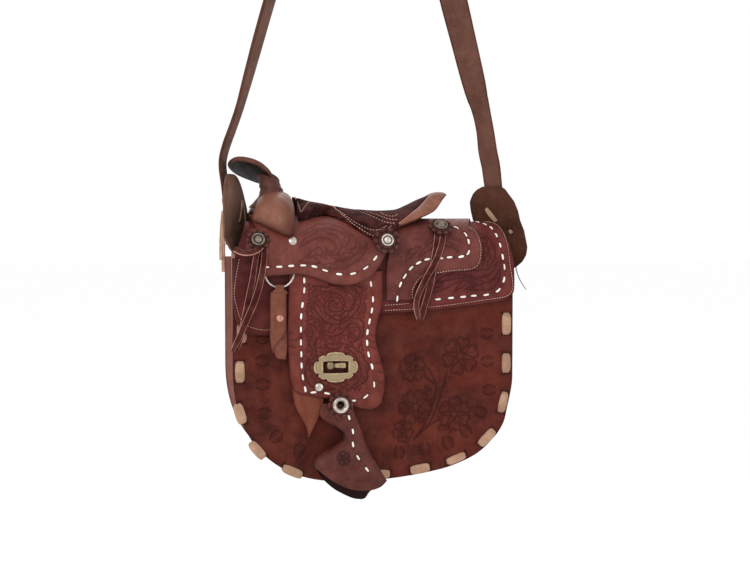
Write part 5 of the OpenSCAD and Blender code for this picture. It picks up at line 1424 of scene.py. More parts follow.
def swell_dome():
    """The swell: a round leather-covered bulge in front of the seat."""
    cols, rows = 90, 130
    u, v = np.linspace(0, 1, cols + 1)[:, None], np.linspace(0, 1, rows + 1)[None]
    across = np.abs(2 * v - 1) ** 1.5
    x = (-97.5 - 6.5 * across) * (1 - u) + (-67.5 - 4.0 * across) * u
    low_z = table([(0, 36.5), (0.2, 32.5), (0.45, 27.5), (0.7, 23), (0.85, 21.6), (0.94, 22.6), (1, 25)],
                  u[:, 0])
    s0 = seen(low_z, PAD_BASE + 2)[:, None]
    s = s0 + 2 * (RIDGE_S - s0) * v
    w = np.abs(2 * v - 1)
    rise = table([(0, 1.5), (0.05, 8), (0.13, 13.6), (0.3, 18), (0.55, 19.6), (0.78, 18.6), (0.92, 15.5),
                  (1, 11)], u[:, 0])[:, None]
    fall = np.maximum(1 - w**3.0, 0) ** 0.5
    tools = Tooling(-112, -6, -60, 122, 0.35)
    for pts in (((-72, 24), (-76, 33), (-82, 40)), ((-69, 30), (-73, 40), (-79, 46)),
                ((-75, 20), (-82, 27), (-90, 33)), ((-70, 46), (-75, 52), (-80, 58)),
                ((-92, 52), (-97, 46), (-104, 43)), ((-90, 57), (-96, 55), (-103, 55)),
                ((-76, 58), (-72, 66), (-70, 76))):
        tools.cut(smooth(pts, 0.6), 1.3, 0.32, shade=0.25)
    press = tools.read(x, s)
    top = PAD_BASE + 1.0 + np.maximum(rise - 1.0, 0) * fall + press + 0.2 * wavy(x, s)
    outer = arch(x, s, top, True)
    lean = ease((fall - 0.2) / 0.8) * 4.0 * (u - 0.75) * ease((1 - u) / 0.2)
    outer[..., 0] += lean
    inner = arch(x, s, np.full_like(top, PAD_BASE + 0.1), True)
    points, faces = shell(outer, inner)
    # Painted shade: the dome grows darker over its right half, beside the dark of its lines.
    shade = np.maximum(tools.read(x, s, "shade"), 0.85 * ease((u - 0.5) / 0.4) * np.ones_like(x))
    edge = np.exp(-np.minimum(np.minimum(u, 1 - u) * 41, (1 - w) * 60) / 1.2)
    piece("swell_dome", points, faces, "flap", SWELL_HIDE, ("swell",),
          {"cut": two(shade), "rim": two(edge)})


def horn():
    """The horn: a wrinkled leather neck that carries a round, back-tilted cap."""
    tilt, lean = math.radians(20), math.radians(18)
    centre = np.array([-102.5, 0, 78.5])
    turn_y = np.array([[math.cos(tilt), 0, math.sin(tilt)], [0, 1, 0], [-math.sin(tilt), 0, math.cos(tilt)]])
    turn_x = np.array([[1, 0, 0], [0, math.cos(lean), math.sin(lean)], [0, -math.sin(lean), math.cos(lean)]])
    pose = turn_y @ turn_x
    a = np.linspace(0, 2 * math.pi, 96, endpoint=False)
    profile = [(0.02, -2.4), (0.45, -2.5), (0.8, -2.2), (0.95, -2.0), (1.0, -1.7), (1.02, -0.6), (1.02, 0.7),
               (1.0, 1.6), (0.96, 2.05), (0.86, 2.3), (0.6, 2.9), (0.3, 3.2), (0.02, 3.3)]
    profile = smooth([(r * 20.2, h) for r, h in profile], 0.55)
    r, h = profile[:, :1], profile[:, 1:]
    uneven = 1 + 0.018 * np.sin(3 * a + 1) + 0.01 * np.sin(7 * a)
    X, Y = r * np.cos(a) * uneven, r * np.sin(a) * uneven
    droop = -0.009 * np.maximum(X, 0) ** 2 - 0.0035 * np.minimum(X, 0) ** 2 - 0.06 * np.minimum(X, 0)
    local = np.stack([X, Y, h + droop + 0 * a], -1)
    cap = local @ pose.T + centre
    n = len(a)
    # Painted shade under the cap's rim, laid into both masks.
    under = ease((-1.2 - h) / 0.8) * ease((19.2 - r) / 1.2) * np.ones(n)
    piece("horn_cap_leather", cap, skin(cap, (len(profile) - 4) * n, pose[:, 2]), "flap", HORN_HIDE,
          ("horn_cap",), {"rim": 1.3 * under, "cut": 0.9 * under})
    share = np.linspace(0, 1, 70)
    rows = np.array([(0, 13, 19, 20), (0.1, 13.6, 16.4, 17.4), (0.22, 14.4, 13.8, 14.8), (0.36, 15.2, 12, 13),
                     (0.55, 14.4, 10.4, 11.4), (0.8, 12.6, 9.6, 10.6), (0.92, 11.4, 9.8, 10.8),
                     (1, 10.8, 10.4, 11.2)])
    shift, wide, deep = (table(rows[:, (0, k)], share)[:, None] for k in (1, 2, 3))
    fold = (0.42 * np.sin(share * 30 + 1.2)[:, None] * np.exp(-(((share - 0.62) / 0.2) ** 2))[:, None]
            * (0.6 + 0.4 * np.cos(a * 2 + 0.6)))
    x = -99 + shift + (wide + fold) * np.cos(a)
    y = (deep + fold) * np.sin(a)
    low, high = 46.0, 79.5 - 2.2 / (math.cos(tilt) * math.cos(lean))
    slope = -math.tan(tilt) * (x + 101.5) - math.tan(lean) / math.cos(tilt) * y
    z = low + (high - low) * share[:, None] + share[:, None] ** 1.5 * slope
    neck = np.stack([x, y, z], -1)
    # Painted shade in the inward folds of the neck and at its top under the cap.
    crease = np.clip(-fold * 1.6, 0, 1)
    piece("horn_neck", neck, skin(neck, 20 * n, (1, 0, 0)), "flap", HORN_HIDE,
          ("horn_post",), {"cut": crease, "rim": 0.5 * ease((share - 0.8) / 0.2)[:, None] * np.ones(n)})


# ---------------------------------------------------------------- gusset, strap and ears


def gusset_channel():
    """The gusset: a channel whose flanges carry the lacing, with a soft bow between the panels."""
    F, B = even(panel_outline(True), count=420), even(panel_outline(False), count=420)
    outer = [(0.5, -32.6), (4, -32.5), (8, -32.5), (10.4, -32.4), (11.5, -31.9), (12, -30.9)]
    outer += [(12, y) for y in np.linspace(-28, 28, 17)] + [(a, -y) for a, y in outer[::-1]]
    inner = [(0.5, -34.9), (5, -34.9), (10, -34.9), (12.6, -34.7), (14.0, -33.8), (14.4, -32)]
    inner += [(14.4, y) for y in np.linspace(-28, 28, 17)] + [(a, -y) for a, y in inner[::-1]]

    def lay(profile):
        p = np.array(profile)
        w = ((p[:, 1] + 35) / 70)[None, :, None]
        base = F[:, None] * (1 - w) + B[:, None] * w
        way = unit(np.gradient(base, axis=0))
        normal = np.stack([-way[..., 1], way[..., 0]], -1)
        inside = (np.abs(p[:, 1]) < 31)[None]
        puff = 1.1 + np.where(base[..., 0] < 0, 8.0, 1.5) * ease((base[..., 1] + 115) / 55)
        bow = puff * np.cos(np.clip(p[:, 1] / 31, -1, 1) * math.pi / 2)[None] ** 1.2 * inside
        spot = base + normal * (p[:, 0][None] - bow)[..., None]
        lump = (0.35 * wavy(np.cumsum(np.full(len(F), 1.2))[:, None], p[:, 1][None] * 1.5)
                * (np.abs(p[:, 1]) < 29)[None])
        spot = spot - normal * lump[..., None]
        lift = 8.0 * ease((spot[..., 1] + 9) / 9) * (base[..., 0] < 0)
        spot[..., 1] += lift * ease((30 - np.abs(p[:, 1])) / 8)[None]
        return np.stack([spot[..., 0], np.broadcast_to(p[:, 1][None], spot.shape[:2]), spot[..., 1]], -1)

    a, b = lay(outer), lay(inner)
    points, faces = shell(a, b)
    rim = np.zeros(a.shape[:2])
    rim[:, :1] = rim[:, -1:] = 0.8
    rim[:, 4:6] = rim[:, -6:-4] = 0.35
    piece("gusset_channel", points, faces, "bag", GUSSET_HIDE, ("gusset",),
          {"rim": two(rim, 0.6 * rim)})


TURN_LEFT = [(0, 24), (0.1, 24), (0.2, 23), (0.32, 25), (0.7, 20), (0.9, 0), (1, 0)]
TURN_RIGHT = [(0, 46), (0.1, 50), (0.2, 66), (0.35, 76), (0.7, 40), (0.9, 0), (1, 0)]
# Each ear at heights: middle's distance from the bag's centre, turn, and its front and back edges across
EARS = {
    -1: [(3.2, 113, 8, -20, 22), (10, 115.5, 20, -20, 24), (20, 117, 30, -21, 27), (32, 117, 30, -21.5, 29),
         (45, 117, 30, -22, 25), (60, 117, 30, -21, 16.5), (66, 117, 30, -20, 12), (70, 117, 30, -18.5, 8),
         (73, 117, 30, -15.5, 3.5), (74.6, 117, 30, -11, -3)],
    1: [(-10, 124, 37, -4, 5), (-9, 124.2, 38, -9, 10), (-7, 124.6, 38, -14, 14.5),
        (-2, 125.5, 40, -19.5, 18.5), (4, 126, 42, -22.5, 21), (11, 126, 44, -23.2, 22),
        (26, 122.7, 46, -23, 24), (35, 119, 46, -22.9, 24.5), (43.5, 116.4, 46, -23.6, 24),
        (52, 113.6, 46, -22.6, 22), (59, 112.4, 46, -18, 17.5), (63, 111.8, 46, -15.5, 12.5),
        (65.4, 111.6, 46, -11.5, 6.5)],
}


# Ends of the laces inside each ear: across, height, across, height
INSIDE_TIES = {
    -1: ((12, 52.5, 6.5, 33), (12.5, 52.5, 20, 29.5)),
    1: ((6.8, 45.6, 0.4, 34), (-9.5, 26, -11.5, 24)),
}


def ear_place(side, w, z, off):
    """Point on an ear's sheet at w across and off to its outside."""
    rows = np.array(EARS[side])
    x, a = (np.interp(z, rows[:, 0], rows[:, k]) for k in (1, 2))
    a = np.radians(a)
    return np.stack([side * (x - w * np.sin(a) + off * np.cos(a)), w * np.cos(a) + off * np.sin(a),
                     z + 0 * w], -1)


def ears():
    """The two ears, which turn as they rise to the strap."""
    for side, label in ((-1, "left"), (1, "right")):
        rows = np.array(EARS[side])
        low, high = rows[0, 0], rows[-1, 0]
        v = np.linspace(0, 1, 91)[:, None]
        v = v * 0.6 + 0.4 * (1 - np.cos(math.pi * v)) / 2
        u = np.sin(np.linspace(-1, 1, 61)[None] * math.pi / 2) * 0.5 + np.linspace(-1, 1, 61)[None] * 0.5
        z = low + (high - low) * v
        front, back = (np.interp(z, rows[:, 0], rows[:, k]) for k in (3, 4))
        soft = np.array([1, 2, 3, 2, 1]) / 9
        front, back = (np.convolve(np.pad(e[:, 0], 2, mode="edge"), soft, "valid")[:, None]
                       for e in (front, back))
        w = (front + back) / 2 + (back - front) / 2 * u
        Z = z + 0 * w
        gap = np.minimum(np.minimum(w - front, back - w),
                         np.minimum(high - Z, Z - low + (9 if side < 0 else 0)))
        thin = 0.8 - np.sqrt(np.maximum(0.64 - np.maximum(0.8 - gap, 0) ** 2, 0))
        bend = (0.35 * wavy(w * 1.5, Z * 1.3) * ease(gap / 6)
                + 1.2 * side * np.sin(Z / 22) * ease(gap / 12) * 0.5)
        both = [ear_place(side, w, Z, k * (1.0 - thin) + bend) for k in (1, -1)]
        points, faces = shell(both[0], both[1])
        rim = np.exp(-gap / 1.6) * 0.7
        # The left ear takes the lighter copy of its hide: painted light.
        made = piece("ear_" + label, points, faces, None, EAR_HIDE_PAINTED_LIGHT if side < 0 else EAR_HIDE,
                     ("strap_ear_" + label,), {"rim": two(rim, rim)})
        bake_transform(made)


def arm(side):
    """Middle line, facing and width of one arm of the strap, from its foot upwards."""
    if side < 0:
        route = [(14, 121.5), (38, 122.5), (64, 125), (83, 127), (97, 124.4), (115, 118), (133, 112),
                 (170, 101.3), (466.7, 16)]
        wide = [(14, 13), (38, 14), (64, 15), (97, 16), (133, 17), (170, 21), (220, 24), (466, 24)]
    else:
        route = [(38, 121.6), (54, 117.2), (66, 115.2), (83, 113), (97, 110), (115, 107.5), (133, 103.6),
                 (152, 98.2), (170, 93.6), (466.7, 16)]
        wide = [(38, 15.5), (66, 17), (97, 17), (115, 16), (133, 16.5), (150, 19.5), (170, 21.5), (200, 23),
                (260, 24), (466, 24)]
    z = np.concatenate([np.arange(route[0][0], 180, 2.4), np.linspace(180, 466.7, 86)])
    x = table(route, z)
    share = np.clip((z - 38) / 442, 0, 1)
    turn = np.radians(table(TURN_LEFT if side < 0 else TURN_RIGHT, share))
    line, facing = np.stack([side * x, 0 * x, z], 1), np.stack([side * np.cos(turn), np.sin(turn), 0 * turn], 1)
    return line, facing, table(wide, z)


def strap():
    """The shoulder strap: one long band that turns as it rises and bends over at the top."""
    left, left_out, left_w = arm(-1)
    right, right_out, right_w = arm(1)
    a = np.radians(np.linspace(166, 14, 25))
    top = np.stack([16 * np.cos(a), 0 * a, 465.3 + 16 * np.sin(a)], 1)
    top_out = np.stack([np.cos(a), 0 * a, np.sin(a)], 1)
    line = np.vstack([left, top, right[::-1]])
    out = np.vstack([left_out, top_out, right_out[::-1]])
    wide = np.concatenate([left_w, np.full(len(a), 24.0), right_w[::-1]])
    soft = np.ones(9) / 9
    out = np.stack([np.convolve(np.pad(out[:, k], 4, mode="edge"), soft, "valid") for k in range(3)], 1)
    z = line[:, 2]
    line = line + out * (0.25 * np.sin(z / 23 + np.sign(line[:, 0])) * ease((z - 80) / 60)
                         * ease((440 - z) / 30))[:, None]
    wide = wide + 0.25 * np.sin(z / 11.0)
    ribbon("shoulder_band", line, out, wide, 2.6, "strap", [STRAP_HIDE, EAR_HIDE],
           ("shoulder_strap",), curl=0.12)


def ties():
    """Tan laces that tie the strap to its ears, and their hanging ends."""
    for side, label in ((-1, "left"), (1, "right")):
        line, out, _ = arm(side)
        pick = lambda z, rows: np.stack([np.interp(z, line[:, 2], rows[:, k]) for k in range(3)], -1)
        q = np.linspace(-0.05, 1.05, 14)
        for k, (w0, z0, w1, z1) in enumerate(((-4.5, 42, 4.5, 53), (4.5, 42, -4.5, 53))):
            z = z0 + (z1 - z0) * q
            face = pick(z, out)
            over_strap = 0.9 + k * 0.7 + 0.9 * np.sin(math.pi * q)
            spots = (pick(z, line) + np.cross(face, (0, 0, 1)) * (w0 + (w1 - w0) * q)[:, None]
                     + face * over_strap[:, None])
            ribbon(f"tie_outside_{label}_{k}", spots, face, 3.6, 1.2, "strap", [LACE_HIDE],
                   ("strap_ties",) if side < 0 and not k else ())
        q = np.linspace(0, 1, 18)
        for k, (w0, z0, w1, z1) in enumerate(INSIDE_TIES[side]):
            w, z = w0 + (w1 - w0) * q, z0 + (z1 - z0) * q
            spots = ear_place(side, w, z, -1.35 - 1.1 * np.sin(math.pi * q) ** 0.6 - 0.2 * k)
            face = ear_place(side, w, z, -20) - ear_place(side, w, z, 0)
            wide = (2.2 if side < 0 else 4.2 - 1.2 * k) * (0.75 + 0.25 * np.sin(math.pi * q))
            ribbon(f"tie_inside_{label}_{k}", spots, face, wide, 1.1, "strap", [LACE_HIDE])
    for k, (x0, x1, low, y) in enumerate(((-126.8, -128.8, 1.0, -3.5), (-125.6, -127.0, -9.5, -6.0))):
        z = np.linspace(43, low, 30)
        q = (43 - z) / (43 - low)
        spots = np.stack([x0 + (x1 - x0) * q - 0.8 * np.sin(3 * q),
                          y + 2.5 * q * (1 - q) - 1.5 * q + 2 * k * q, z], 1)
        ribbon(f"tie_tail_{k}", spots, np.tile([-0.75, -0.66, 0], (30, 1)), 3.8, 1.2, "strap",
               [LACE_HIDE, STRING_EDGE])
    q = np.linspace(0, 1, 26)
    end = ear_place(1, np.array(-14.0), np.array(-4.0), -1.6)
    spots = end + np.stack([1.0 * q + 8.5 * q**2, -1.5 * q, -23 * q], 1)
    ribbon("lace_end", spots, np.tile([-0.2, -1, 0.2], (26, 1)), 0.9 - 0.4 * q, 0.7, "bag", [STRING_HIDE])


# ---------------------------------------------------------------- stirrup, billet, rosettes and metal


def hood():
    """The stirrup's leather hood: a pinched sleeve that swells into a wide mouth, its back wall longer."""
    thick, clear, deep = 1.8, 0.15, 9.0
    base = BAND_OUT + 0.4 + thick + clear

    def line(pixels, off):
        flat, near = over(*pixels, off=0), over(*pixels, off=1)
        return flat + (near - flat) * np.asarray(off)[:, None]

    def drawn(pixels, profile):
        p = np.array(pixels, float)
        run = np.concatenate([[0], np.cumsum(np.hypot(*np.diff(p, axis=0).T))])
        run /= run[-1]
        return smooth(line(pixels, [base + profile(q) for q in run]), 0.5)

    swell = lambda v: deep * table([(0, 0.01), (0.15, 0.02), (0.3, 0.10), (0.5, 0.45), (0.75, 0.85), (1, 1)],
                                   np.atleast_1d(v))
    left_px = [(322, 400), (318.5, 407), (320, 413), (326, 418), (334, 421.8), (340.5, 426.4), (342.2, 431.6),
               (339, 437), (331, 441.6), (322, 446), (315.8, 451.6), (313.8, 456.6), (316, 461)]
    right_px = [(351.8, 402), (352.6, 410), (358.3, 422.6), (364.8, 440.4), (372.5, 455), (385.4, 476)]
    near_px = [(316, 461), (324.3, 467.5), (336.4, 475.6), (348.6, 481.2), (360, 483.6), (369, 483.4),
               (378, 481), (385.4, 476)]
    far_px = [(316, 461), (320.5, 471.5), (332.4, 483.4), (348.6, 492.3), (358, 494.6), (364, 493.6),
              (370, 486), (385.4, 476)]
    bulge = lambda q: 2 * (1 - q) * np.sqrt(np.maximum(q, 0)) * 1.25
    L = drawn(left_px, lambda q: swell(q)[0])
    R = drawn(right_px, lambda q: swell(q)[0])
    near = drawn(near_px, lambda q: deep * (1 + bulge(q) * 0.9))
    far = drawn(far_px, lambda q: deep * (1 - bulge(q) * 0.9))
    top = np.array([L[0], R[0]])
    cols, rows = 90, 110
    tools = Tooling(-64, -200, 14, -108, 0.3)
    buck = line([(347.4, 414), (351.8, 427.5), (352.6, 440), (358.3, 452.6), (366.8, 464)],
                base + deep * np.array([0.1, 0.6, 1.4, 1.9, 2.0]))
    holes(tools, [buck])
    flower_at = line([(343.5, 452)], [base + deep * 1.9])[0]
    flower(tools, flower_at[0], flower_at[1], 5.4, 5, 0.4)
    for pts in (((322, 417), (330, 421.5), (336, 426)), ((330, 440), (337, 436), (343, 434)),
                ((340, 428), (345, 425), (350, 424)), ((321, 449), (327, 446.5)),
                ((329, 413), (336, 416), (343, 417)), ((345, 470), (356, 474), (366, 474))):
        tools.cut(smooth(line(pts, np.full(len(pts), base + deep)), 0.5), 1.6, 0.35, shade=0.3)
    # Painted shade: the leather round the eyelet's hole is made fully dark.
    eye = smooth([(-36.2, -121), (-33, -117.8), (-29.8, -121), (-33, -124.2)], 0.3, closed=True)
    tools.cut(eye, 3.4, 0.0, shade=1.0)
    q = np.linspace(0, 1, cols + 1)[None]
    v = 1 - np.linspace(0, 1, rows + 1)[:, None]
    d, s = swell(v[:, 0])[:, None], bulge(q)
    front, back = (patch(mouth, R[::-1], top, L[::-1], cols, rows, 0.5).transpose(1, 0, 2)
                   for mouth in (near, far))
    flute = 0.7 * np.exp(-((front[..., 0] + 38) / 9) ** 2 - ((front[..., 1] + 133) / 7) ** 2)

    def wall(k):
        """The front and back wall joined down their left side, k leathers out from the inside."""
        parts = []
        for grid, sign in ((front, 1), (back, -1)):
            x, z = grid[..., 0], grid[..., 1]
            push = d * (1 + sign * s) + sign * (k * thick * ease(s * 2.2 + 0.25) + clear)
            if sign > 0:
                roll = 1.9 * np.exp(-(((q - 0.09) / 0.06) ** 2)) - 1.1 * np.exp(-(((q - 0.26) / 0.09) ** 2))
                push = push + roll * ease((v - 0.12) / 0.2) * ease((0.95 - v) / 0.35)
                push = push + (tools.read(x, z) + flute) * k + 0.35 * wavy(x * 1.6, z * 1.4) * ease(d / 4)
            inset = (1 - k) * thick * ease(1 - s * 1.4) * (x < L[:, 0].mean() + 20) * ease((0.35 - q) / 0.35)
            parts.append(np.stack([x + inset, -(ARCH_DEPTH + base + push), z], -1))
        return np.concatenate([parts[0][:, ::-1], parts[1][:, 1:]], 1)

    outer, inner = wall(1), wall(0)
    points, faces = shell(outer, inner)
    x, z = outer[..., 0], outer[..., 2]
    n = cols + 1
    cut = np.zeros(x.shape)
    cut[:, :n] = tools.read(x[:, :n], z[:, :n], "shade")
    rim = ease((v - 0.975) / 0.025) * 0.9 + 0 * x
    # The rim mask darkens the mouth's edge, and the whole inside wall as painted shade.
    made = piece("hood", points, faces, "stirrup", HOOD_HIDE, ("tapadero",),
                 {"cut": two(cut), "rim": two(rim, 0.5)})
    # The hood's inside takes the dark painted-shade hide.
    made.data.materials.append(HOOD_INSIDE_SHADE)
    owner = np.array([min(p.vertices) >= outer.size // 3 for p in made.data.polygons])
    made.data.polygons.foreach_set("material_index", owner.astype(np.int32))
    flat, deep_y = front.reshape(-1, 2), outer[:, :n][:, ::-1].reshape(-1, 3)[:, 1]

    def face(px, ps, up):
        spot = np.stack([np.ravel(px + 0 * up), np.ravel(ps + 0 * up)], 1)
        y = deep_y[nearest(flat, spot)].reshape(np.broadcast(px, up).shape)
        y = y.mean(-1, keepdims=True) * np.ones_like(y)
        return np.stack([px + 0 * up, y - up, ps + 0 * up], -1)

    dashes("hood_buckstitch", [buck], "stirrup", face, pitch=9.4, length=5.2, width=1.7)


# How far each is drawn down onto the strings under it
SEATED = {"rear_rosette": 1.3, "rear_concho": 1.3}


def node_frame(name):
    """Middle, facing, two directions across and reach of a flat round CAD node, in millimetres of the bag."""
    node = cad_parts[name]
    p = np.array([tuple(node.matrix_world @ v.co) for v in node.data.vertices]) / MM + (0, 0, HANG)
    mid = (p.max(0) + p.min(0)) / 2
    _, _, axes = np.linalg.svd(p - mid, full_matrices=False)
    out = axes[2] * (1 if axes[2][1] < 0 else -1)
    across = np.cross((0, 0, 1), out) if abs(out[2]) < 0.95 else np.array([1.0, 0, 0])
    across /= np.linalg.norm(across)
    h = (p - mid) @ out
    return mid - out * SEATED.get(name, 0), out, across, np.cross(out, across), h.min(), h.max()


def rosette(node, body, reach, hole=0.0):
    """A scalloped leather rosette with a bead in each scallop and a groove round its middle."""
    mid, out, across, up, low, high = node_frame(node)
    a = np.linspace(0, 2 * math.pi, 160, endpoint=False)
    r = np.append(np.linspace(max(hole, 0.4), reach - 1.2, 22), np.linspace(reach - 1.1, reach, 9))[:, None]
    lobe = np.abs(np.cos(5 * a))
    edge = 0.86 + 0.14 * lobe**0.55
    share = (r - r[0]) / (r[-1] - r[0])
    R = r[0] + (r[-1] - r[0]) * share * (edge * (1 + 0.01 * np.sin(3 * a)))
    top = high - 0.1 - 0.55 * (1 - np.sqrt(np.maximum(1 - np.maximum(share - 0.9, 0) ** 2 / 0.01, 0)))
    dip = (0.45 * np.exp(-(((share - 0.66) / 0.06) ** 2))
           + 0.6 * (1 - lobe) ** 1.5 * ease((share - 0.66) / 0.1))
    bead = 0.25 * np.exp(-(((share - 0.84) / 0.07) ** 2)) * ease((lobe - 0.55) / 0.4)
    top = top - dip + bead
    bend = 0.12 * np.sin(2 * a + 1) * share**2
    flat = mid + (R * np.cos(a))[..., None] * across + (R * np.sin(a))[..., None] * up
    place = lambda h: flat + (h + 0 * a)[..., None] * out
    outer, inner = place(top + bend), place(low + 0.05 + bend + 0 * top)
    grid = np.concatenate([outer, inner[::-1]], 0)
    cut = np.clip(dip * 2.2, 0, 1)
    rim = ease((share - 0.93) / 0.07) * 0.8 + 0 * a
    piece(node + "_leather", grid, skin(grid, 10 * len(a), out, closed=True), body, ROSETTE_HIDE,
          (node,), {"cut": two(cut), "rim": two(rim, 0.6)})


def billet_strap():
    """The billet: folded over the ring, its two legs pinned together, the front one cut off in a curve."""
    left = over((271.2, 291), (270.9, 305), (270.8, 322), (270.9, 338), (273.4, 350.4), off=8)
    right = over((286.4, 291), (286.3, 303), (286.2, 315), (286.1, 326.3), off=8)
    cut = over((273.4, 350.4), (275, 344), (279.5, 338.2), (283.5, 333), (286.1, 326.3), off=8)
    lo, ri, le = smooth(cut, 0.4), smooth(right[::-1], 0.4), smooth(left[::-1], 0.4)
    grid = patch(lo, ri, np.array([left[0], right[0]]), le, 36, 80)
    tools = Tooling(-96, -90, -72, -20, 0.3)
    for pts in (((-88, -40), (-87, -56)), ((-80, -60), (-81, -72))):
        tools.cut(np.array(pts, float), 1.4, 0.25, shade=0.3)
    face = lambda x, s, off: np.stack([x, -(47.4 + off) - 0.25 * np.cos((x - BILLET_X) / 7 * 1.5), s], -1)
    cut_leather("billet_front", grid, face, 0, 0.95, tools, "billet", BILLET_HIDE,
                ("billet",), edge=0.5, burnish=0.9, lumps=0.08)
    left = smooth(over((274.8, 352.4), (271.8, 342), (271.4, 320), (271.6, 292), off=4), 0.5)
    right = smooth(over((285.4, 356.4), (286.8, 344), (286.6, 320), (286.6, 292), off=4), 0.5)
    low = smooth(over((274.8, 352.4), (278, 355.6), (285.4, 356.4), off=4), 0.4)
    grid = patch(low, right, np.array([left[-1], right[-1]]), left, 24, 60)
    back = lambda x, s, off: np.stack([x, -(43.8 + off) - 1.6 * ease((-50 - s) / 20), s], -1)
    cut_leather("billet_back", grid, back, 0, 0.9, None, "billet", BILLET_HIDE, edge=0.5,
                burnish=0.9)
    t = np.radians(np.linspace(-90, 90, 21))
    top = np.stack([0 * t, 46.05 - 1.9 * np.sin(t), -21.15 + 1.9 * np.cos(t)], 1)
    line = np.vstack([[(0, 47.95, -26.5), (0, 47.95, -24.5), (0, 47.95, -22.6)], top,
                      [(0, 44.2, -22.6), (0, 44.25, -24.5), (0, 44.3, -26.5)]])
    line = np.stack([BILLET_X + line[:, 0], -line[:, 1], line[:, 2]], 1)
    mid = np.array([BILLET_X, -46.05, -21.15 - 3])
    out = line - mid
    out[:, 0] = 0
    out = unit(out)
    out[:3], out[-3:] = (0, -1, 0), (0, 1, 0)
    wide = 7 + 6.6 * ease((-22.4 - line[:, 2]) / 3.4)
    ribbon("billet_loop", line, out, wide, 0.95, "billet", [BILLET_HIDE])


def keeper():
    """The little loop of leather that holds the ring."""
    t = np.radians(np.linspace(200, -20, 19))
    middle, reach = (BILLET_X, -46.05, 3.15), 1.3
    out = np.stack([0 * t, reach * np.cos(t), -reach * np.sin(t)], 1)
    line = middle + out
    ribbon("ring_keeper_loop", line, out, 2.4, 0.5, "flap", [JOCKEY_HIDE], ("ring_keeper",))


def front_tab():
    """The tab under the front rosette and the thong folded round its foot."""
    o = dict(off=JOCKEY_OUT)
    low = over((246.2, 250.8), (254, 253), (262, 252), **o)
    right = over((262, 252), (264.5, 243), (267, 234), **o)
    high = over((251.5, 229.5), (259, 231), (267, 234), **o)
    left = over((246.2, 250.8), (248.6, 240), (251.5, 229.5), **o)
    grid = patch(smooth(low, 0.5), smooth(right, 0.5), smooth(high, 0.5), smooth(left, 0.5), 30, 34)
    face = lambda x, s, off: arch(x, s, JOCKEY_OUT + 0.1 + off, True)
    cut_leather("front_tab", grid, face, 0, 0.9, None, "flap", ROSETTE_HIDE, edge=0.5,
                burnish=0.8, lumps=0.06)
    route = smooth(over((262.5, 248.5), (257, 252), (250, 253.6), (243, 253), (236.5, 250.2), **o), 0.8)
    q = np.linspace(0, 1, len(route))
    line = arch(route[:, 0], route[:, 1], JOCKEY_OUT + 1.9 + 1.0 * np.sin(math.pi * q), True)
    out = arch(route[:, 0], route[:, 1], 12, True) - arch(route[:, 0], route[:, 1], 11, True)
    out = out + (0, 0, 0.75)
    ribbon("front_fold", line, out, 4.2 + 0.8 * np.sin(2 * q), 1.4, "flap", [STRING_HIDE, STRING_EDGE])


def conchos():
    """Domed conchos: a fluted ring, a dark groove and a smooth middle."""
    a = np.linspace(0, 2 * math.pi, 96, endpoint=False)
    for name, material, slot, size in (("front_concho", DARK_METAL, "dark_metal", 0.94),
                                       ("rear_concho", DARK_METAL, "dark_metal", 1.0),
                                       ("seat_concho", NICKEL, "nickel", 0.9)):
        middle, out, across, up, low, high = node_frame(name)
        top = high - 1.2
        k = 6 * size
        ring = smooth([(0.97 * k, low), (1.0 * k, top - 0.9), (0.99 * k, top - 0.2), (0.9 * k, top + 0.25),
                       (0.78 * k, top + 0.2), (0.68 * k, top - 0.45), (0.63 * k, top - 0.5),
                       (0.58 * k, top - 0.1), (0.48 * k, top + 0.55), (0.3 * k, top + 0.95),
                       (0.12 * k, top + 1.1), (0.02 * k, top + 1.12)], 0.16)
        r, h = ring[:, :1], ring[:, 1:]
        flute = 0.13 * ((r >= 0.78 * k) & (r <= 0.97 * k)) * np.cos(20 * a)
        grid = (middle + (r * np.cos(a))[..., None] * across + (r * np.sin(a))[..., None] * up
                + (h + flute)[..., None] * out)
        shade = (np.exp(-(((r - 0.655 * k) / 0.42) ** 2)) + 0.55 * np.exp(-(((r - 1.0 * k) / 0.3) ** 2))
                 + 0 * a)
        piece(name + "_disc", grid, skin(grid, (len(ring) - 2) * len(a), out), "flap", material,
              (name,), {"cut": np.clip(shade, 0, 1)})


def eyelet():
    """The stirrup's eyelet: a rolled nickel ring with an open throat, and a dark disc of painted shade inside
    it.
    """
    profile = [(3.2, -41.6), (3.3, -51.2), (6.2, -51.3), (6.75, -51.6), (6.8, -52.0), (6.5, -52.5),
               (5.7, -52.85), (4.8, -52.75), (4.1, -52.2), (3.6, -51.4), (3.35, -50.4)]
    a = np.linspace(0, 2 * math.pi, 96, endpoint=False)
    front = smooth([(r, -y) for r, y in profile[2:]], 0.2)
    rows = np.vstack([[(3.3, 41.6), (3.3, 51.2)], front, [(2.9, 49), (2.9, 42), (3.3, 41.6)]])
    grid = np.stack([EYE_X + rows[:, :1] * np.cos(a), -rows[:, 1:] + 0 * a, EYE_Z + rows[:, :1] * np.sin(a)],
                    -1)
    dark = np.where(np.arange(len(rows)) > len(rows) - 5, 0.95, 0)[:, None] + 0 * a
    piece("eyelet_ring", grid, skin(grid, 8 * 96, FRONT)[0], "stirrup", NICKEL, ("stirrup_eyelet",),
          {"cut": dark})
    # A dark disc in the eyelet's throat: painted shade.
    disc = np.stack([EYE_X + 3.1 * np.cos(a), np.full(96, -46.5), EYE_Z + 3.1 * np.sin(a)], 1)
    shade = np.stack([disc, disc + (0, 1.0, 0)])
    piece("eyelet_shade", shade, skin(shade, 0), "stirrup", HOOD_INSIDE_SHADE, flat=True)


